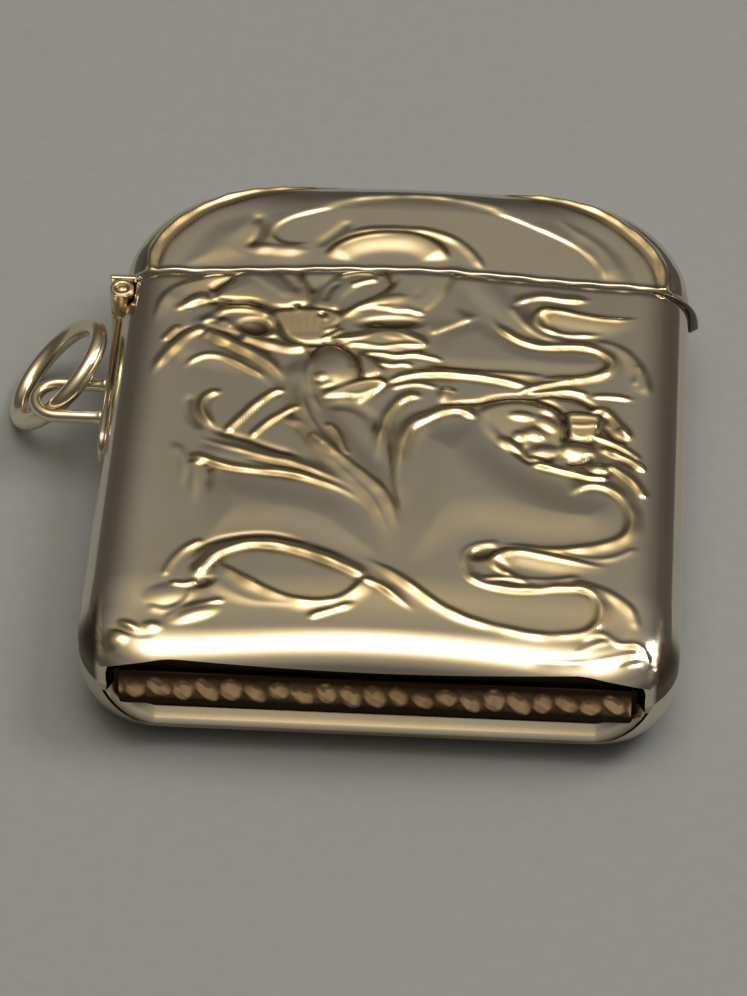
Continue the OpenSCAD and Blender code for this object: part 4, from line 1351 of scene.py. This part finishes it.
# %% Striker strip
strip_low, strip_high = box_mm("striker_strip")
RIB_PITCH, RIB_FOOT, ROW_UP = 1.5, 0.36, 0.15
RIB_WIDE, RIB_TALL, RIDGE_SHARE, RIDGE_TALL = 0.76, 0.92, 0.34, 1.05
u = np.linspace(strip_low[0], strip_high[0], 322)
w = np.linspace(strip_low[2], strip_high[2], 29)
uu, ww = np.meshgrid(u, w)
number = np.round(uu / RIB_PITCH)
row = ww - (strip_low[2] + strip_high[2]) / 2 - ROW_UP
off_middle = row - 0.16 * np.sin(2.7 * number)
from_rib = uu - number * RIB_PITCH + (0.2 + 0.2 * np.sin(3.3 * number)) * off_middle
wide = RIB_WIDE + 0.06 * np.sin(4.1 * number + 1)
tall = RIB_TALL + 0.12 * np.sin(7.3 * number + 2)
rib = np.sqrt(np.clip(1 - (from_rib / wide) ** 2 - (off_middle / tall) ** 2, 0, None))
rib = np.maximum(rib, RIDGE_SHARE * np.sqrt(np.clip(1 - (row / RIDGE_TALL) ** 2, 0, None)))
rib *= 0.86 + 0.14 * np.sin(5.3 * number) + 0.12 * np.sin(6.1 * uu + 2.3 * ww) * np.sin(4.7 * ww)
top = strip_high[1] - RIB_FOOT - rib * (strip_high[1] - RIB_FOOT - strip_low[1])
outer = np.stack([uu, top, ww], -1)
under = np.stack([uu, np.full_like(uu, strip_high[1]), ww], -1)
faces, n_top = grid_faces(0, *uu.shape, False)
more, n_low = grid_faces(uu.size, *uu.shape, True)
faces += more
for side in ((0, slice(None)), (-1, slice(None)), (slice(None), 0), (slice(None), -1)):
    e, f = n_top[side].tolist(), n_low[side].tolist()
    faces += [(e[k], e[k + 1], f[k + 1], f[k]) for k in range(len(e) - 1)]
points = np.concatenate([outer.reshape(-1, 3), under.reshape(-1, 3)])
striker = new_piece("striker_ribs", points, faces, STRIKER, "case_body", "striker_silver")
# Painted shade darkens the ribs towards their feet, and a painted golden highlight runs along their
# tips.
mark(striker, hollow=lambda p: ease((p[:, 1] - strip_low[1] - 0.1) / 0.36),
     warm=lambda p: ease((strip_low[1] + 0.22 - p[:, 1]) / 0.2) * (0.5 + 0.5 * np.sin(9 * p[:, 0])))
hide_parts("striker_strip")
print("striker faces:", len(striker.data.polygons))

# %% [markdown]
# ### The striker's seat
# Behind the ribs a plate fills the slot; its near-black colour is painted shade. Its edge is worked
# out from the sheet's inside. A plain box would be simpler, but its corners would come through the
# rolled edge.

# %% Striker seat
SEAT_HALF, SEAT_ROOM = 16.4, 0.05
x = np.linspace(-SEAT_HALF, SEAT_HALF, 67)
reach = np.hypot(np.clip(np.abs(x) - SLOT_HALF, 0, None), BASE_CORNER + BASE_Y - strike_low[1])
rise = np.sqrt((ROLL - WALL) ** 2 - (reach - BASE_CORNER + ROLL) ** 2) - SEAT_ROOM
top = np.minimum(strike_high[2], domed(x, np.full_like(x, BASE_Y + BASE_CORNER)) - ROLL + rise)
low = np.maximum(strike_low[2], ROLL - rise)
rings = [[(u, strike_low[1], b), (u, strike_high[1], b), (u, strike_high[1], h), (u, strike_low[1], h)]
         for u, b, h in zip(x, low, top)]
# The plate's near-black finish is painted shade.
seat = new_piece("striker_seat_plate", *loft(rings), SLOT_PAINTED_SHADE, "case_body", "striker_silver")
crisp(seat)
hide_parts("striker_backing")
print("seat faces:", len(seat.data.polygons))

# %% [markdown]
# ## The hinge
# Three short barrels sit on one pin in the left side: two belong to the body, the middle one to the
# lid. Each is turned from a profile with softened rims and stands on a small foot, and a thin leaf
# carries the lid. The pin's ends are riveted over, so they are slightly domed. Plain cylinders would
# turn as well, but their sharp rims would catch no light.

# %% Barrels
lid_barrel_low, lid_barrel_high = box_mm("lid_knuckle")
pin_low, pin_high = box_mm("hinge_pin")
BARREL_R, PIN_R = 0.8, (pin_high[0] - pin_low[0]) / 2
BARREL_GAP, FOOT_HALF, FOOT_REACH = 0.1, 0.45, 0.15
AXIS_X, AXIS_Y = (pin_low[0] + pin_high[0]) / 2, (pin_low[1] + pin_high[1]) / 2


def barrel(z0, z1, bore):
    """A short tube with softened rims."""
    s = 0.12
    return turned([(bore, z0 + s), (bore + 0.04, z0), (BARREL_R - s, z0), (BARREL_R - s / 3, z0 + s / 3),
                   (BARREL_R, z0 + s), (BARREL_R, z1 - s), (BARREL_R - s / 3, z1 - s / 3),
                   (BARREL_R - s, z1), (bore + 0.04, z1), (bore, z1 - s)], AXIS_X, AXIS_Y)


def foot(z0, z1, y0, y1):
    """The small block on which a barrel stands."""
    low, high = (AXIS_X - FOOT_HALF, y0, z0 + 0.02), (AXIS_X + FOOT_HALF, y1, z1 - 0.02)
    return soft_bar(low, high, soft=0.06, corner=3)


barrel_long = lid_barrel_low[2] - BARREL_GAP - knuckle_low[2]
spans = [(knuckle_low[2], knuckle_low[2] + barrel_long),
         (knuckle_high[2] - barrel_long, knuckle_high[2])]
barrels = new_piece("body_hinge_barrels", *barrel(*spans[0], PIN_R + 0.01), HINGE_SILVER, "case_body",
                    "hinge_silver")
combine(barrels, *barrel(*spans[1], PIN_R + 0.01), "UNION")
for span in spans:
    combine(barrels, *foot(*span, knuckle_low[1], AXIS_Y - PIN_R - FOOT_REACH), "UNION")
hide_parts("body_knuckles")
lid_span = (lid_barrel_low[2], lid_barrel_high[2])
lid_barrel = new_piece("lid_hinge_barrel", *barrel(*lid_span, PIN_R + 0.03), HINGE_SILVER, "lid",
                       "hinge_silver")
combine(lid_barrel, *foot(*lid_span, AXIS_Y + PIN_R + FOOT_REACH, lid_barrel_high[1]), "UNION")
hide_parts("lid_knuckle")
print("barrels of", round(barrel_long, 2), "mm on the body")

# %% Pin and leaf
dome_r = [(0.02, 0), (PIN_R * 0.5, 0.03), (PIN_R * 0.85, 0.09), (PIN_R, 0.2)]
pin_profile = [(r, pin_low[2] + h) for r, h in dome_r]
pin_profile += [(r, pin_high[2] - h) for r, h in dome_r[::-1]]
t = np.linspace(0, 2 * math.pi, 32, endpoint=False)
rings = [np.stack([AXIS_X + r * np.cos(t), AXIS_Y + r * np.sin(t), np.full(32, z)], -1)
         for r, z in pin_profile]
pin = new_piece("hinge_pin_riveted", *loft(rings), HINGE_SILVER, "case_body", "hinge_silver")
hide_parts("hinge_pin")
leaf = new_piece("lid_hinge_leaf_bar", *soft_bar(leaf_low, leaf_high, 0.14), WIRE_SILVER, "lid",
                 "hinge_silver")
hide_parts("lid_hinge_leaf")
print("hinge axis at", round(AXIS_X, 2), round(AXIS_Y, 2))

# %% [markdown]
# ## Chain fittings
# A narrow plate is soldered down the left side and carries an eye of bent wire; a loose ring hangs in
# the eye. The plate is an outline with a softened rim. The eye's legs swell a little where the solder
# holds them. A bevelled curve with a radius at each point would do as well; the loft is used because
# it already serves the other fittings.

# %% Plate and eye
plate_low, plate_high = box_mm("loop_plate")
eye_low, eye_high = box_mm("loop_eye")
EYE_R = (eye_high[2] - eye_low[2]) / 2
plate_half, plate_mid = (plate_high[2] - plate_low[2]) / 2, (plate_high[2] + plate_low[2]) / 2


def plate_ring(x, inset):
    """The plate's outline at one depth: straight sides, round at the lower end."""
    h = plate_half - inset
    bow = np.linspace(0, math.pi, 25)
    low_end = plate_low[1] + plate_half
    top = plate_high[1] - inset
    ring = [(x, top, plate_mid - h), (x, top, plate_mid + h)]
    ring += [(x, low_end - h * math.sin(t), plate_mid + h * math.cos(t)) for t in bow]
    return ring


rings = [plate_ring(plate_high[0], 0), plate_ring(plate_low[0] + 0.15, 0),
         plate_ring(plate_low[0] + 0.05, 0.05), plate_ring(plate_low[0], 0.16)]
plate = new_piece("loop_plate_soldered", *loft(rings), WIRE_SILVER, "case_body", "hinge_silver")
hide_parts("loop_plate")
eye_y, eye_z = (eye_low[1] + eye_high[1]) / 2, (eye_low[2] + eye_high[2]) / 2
bend_r = (eye_high[1] - eye_low[1]) / 2 - EYE_R
bend_x = eye_low[0] + EYE_R + bend_r
legs = np.linspace(eye_high[0], bend_x, 14)[:-1]
bow = np.linspace(math.pi / 2, 1.5 * math.pi, 33)
path = ([(x, eye_y + bend_r, eye_z) for x in legs]
        + [(bend_x + bend_r * math.cos(t), eye_y + bend_r * math.sin(t), eye_z) for t in bow]
        + [(x, eye_y - bend_r, eye_z) for x in legs[::-1]])
swell = np.array([EYE_R * (1 + 0.45 * math.exp(-(eye_high[0] - p[0]) / 0.22)) for p in path])
eye = new_piece("loop_eye_wire", *wire(path, swell, (0, 0, 1)), WIRE_SILVER, "case_body", "wire_silver")
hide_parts("loop_eye")
print("eye bends round a radius of", round(bend_r, 2), "mm")

# %% [markdown]
# ### The ring
# A link of round wire hangs in the eye at a slant. It is one closed wire, slightly worn thinner where
# it rubs; a torus would be as round, but not worn.

# %% Ring
RING_AT, RING_R, RING_WIRE = np.array((-22.95, 7.55, 3.455)), 3.9, 0.62
RING_TILT, RING_TURN = math.radians(46), math.radians(-6)
facing = Matrix.Rotation(RING_TURN, 3, "Z") @ Matrix.Rotation(-RING_TILT, 3, "Y")
t = np.linspace(0, 2 * math.pi, 128, endpoint=False)
flat_ring = np.stack([RING_R * np.cos(t), RING_R * np.sin(t), 0 * t], -1)
path = RING_AT + flat_ring @ np.array(facing).T
worn = RING_WIRE * (1 - 0.03 * (0.5 + 0.5 * np.cos(t)) ** 4)
ring = new_piece("chain_ring_wire", *wire(path, worn, facing @ Vector((0, 0, 1)), 32, True),
                 WIRE_SILVER, "ring", "wire_silver")
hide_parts("suspension_ring")
ring_low, _ = box_mm("suspension_ring")
print("ring off by", np.round(np.abs(ring_low - np.min(path, 0) + RING_WIRE).max(), 2), "mm at most")

# %% [markdown]
# ## The thumb lip
# At the lid's right end the edge of the sheet swells into a small crescent for the thumb. It is lofted
# along the lid's own side: at each step a small rounded section, thin on the shoulder and fullest
# at the side. It could be pulled out of the lid's grid, but the measured model has it as a piece.

# %% Thumb lip
lip_low, lip_high = box_mm("thumb_lip")
THUMB_START, THUMB_SWEEP = math.radians(20), math.radians(104)
THUMB_SECTION = [(0, 0), (0.55, 0), (0.88, 0.06), (1, 0.28), (0.94, 0.55), (0.72, 0.8), (0.4, 0.95),
                 (0, 1)]
THUMB_SUNK, THUMB_DOWN, THUMB_FULL = 0.12, 2.2, 0.9
TIP_FROM, TIP_TAPER = 0.92, 0.75
rings = []
for s in np.linspace(0, 1, 48):
    angle = THUMB_START + s * THUMB_SWEEP
    bend = min(angle, math.pi / 2)
    down = max(angle - math.pi / 2, 0) * THUMB_DOWN
    side = np.array((FLAT_X + (ROLL - THUMB_SUNK) * math.sin(bend),
                     ROLL_Z + (GROUND_SIDE - ROLL_Z - THUMB_SUNK) * math.cos(bend) - down))
    outward = np.array((math.sin(bend), math.cos(bend)))
    grow = ease(s / THUMB_FULL) ** 1.2
    tip = 1 - TIP_TAPER * max(s - TIP_FROM, 0) / 0.08
    reach = 0.14 + (lip_high[0] - SIDE_X - 0.04) * grow * tip
    tall = 0.12 + 0.26 * grow * tip
    rings.append([(side[0] + outward[0] * reach * p, lip_low[1] + 0.01 + tall * q,
                   side[1] + outward[1] * reach * p) for p, q in THUMB_SECTION])
lip = new_piece("thumb_lip_crescent", *loft(np.array(rings, float)), SHEET, "lid", "silver_sheet")
# Painted shadow along the lip's face next to the body.
mark(lip, hollow=lambda p: 0.8 * ease((lip_low[1] + 0.14 - p[:, 1]) / 0.12))
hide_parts("thumb_lip")
print("lip reaches x", round(max(p[0] for r in rings for p in r), 2))

# %% [markdown]
# ## The carried-over spring
# The spring behind the hinge is right as measured; it only needs a finish.

# %% Finish for the spring
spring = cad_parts["leaf_spring"].data
spring.materials.clear()
spring.materials.append(SPRING)
print("spring finished")
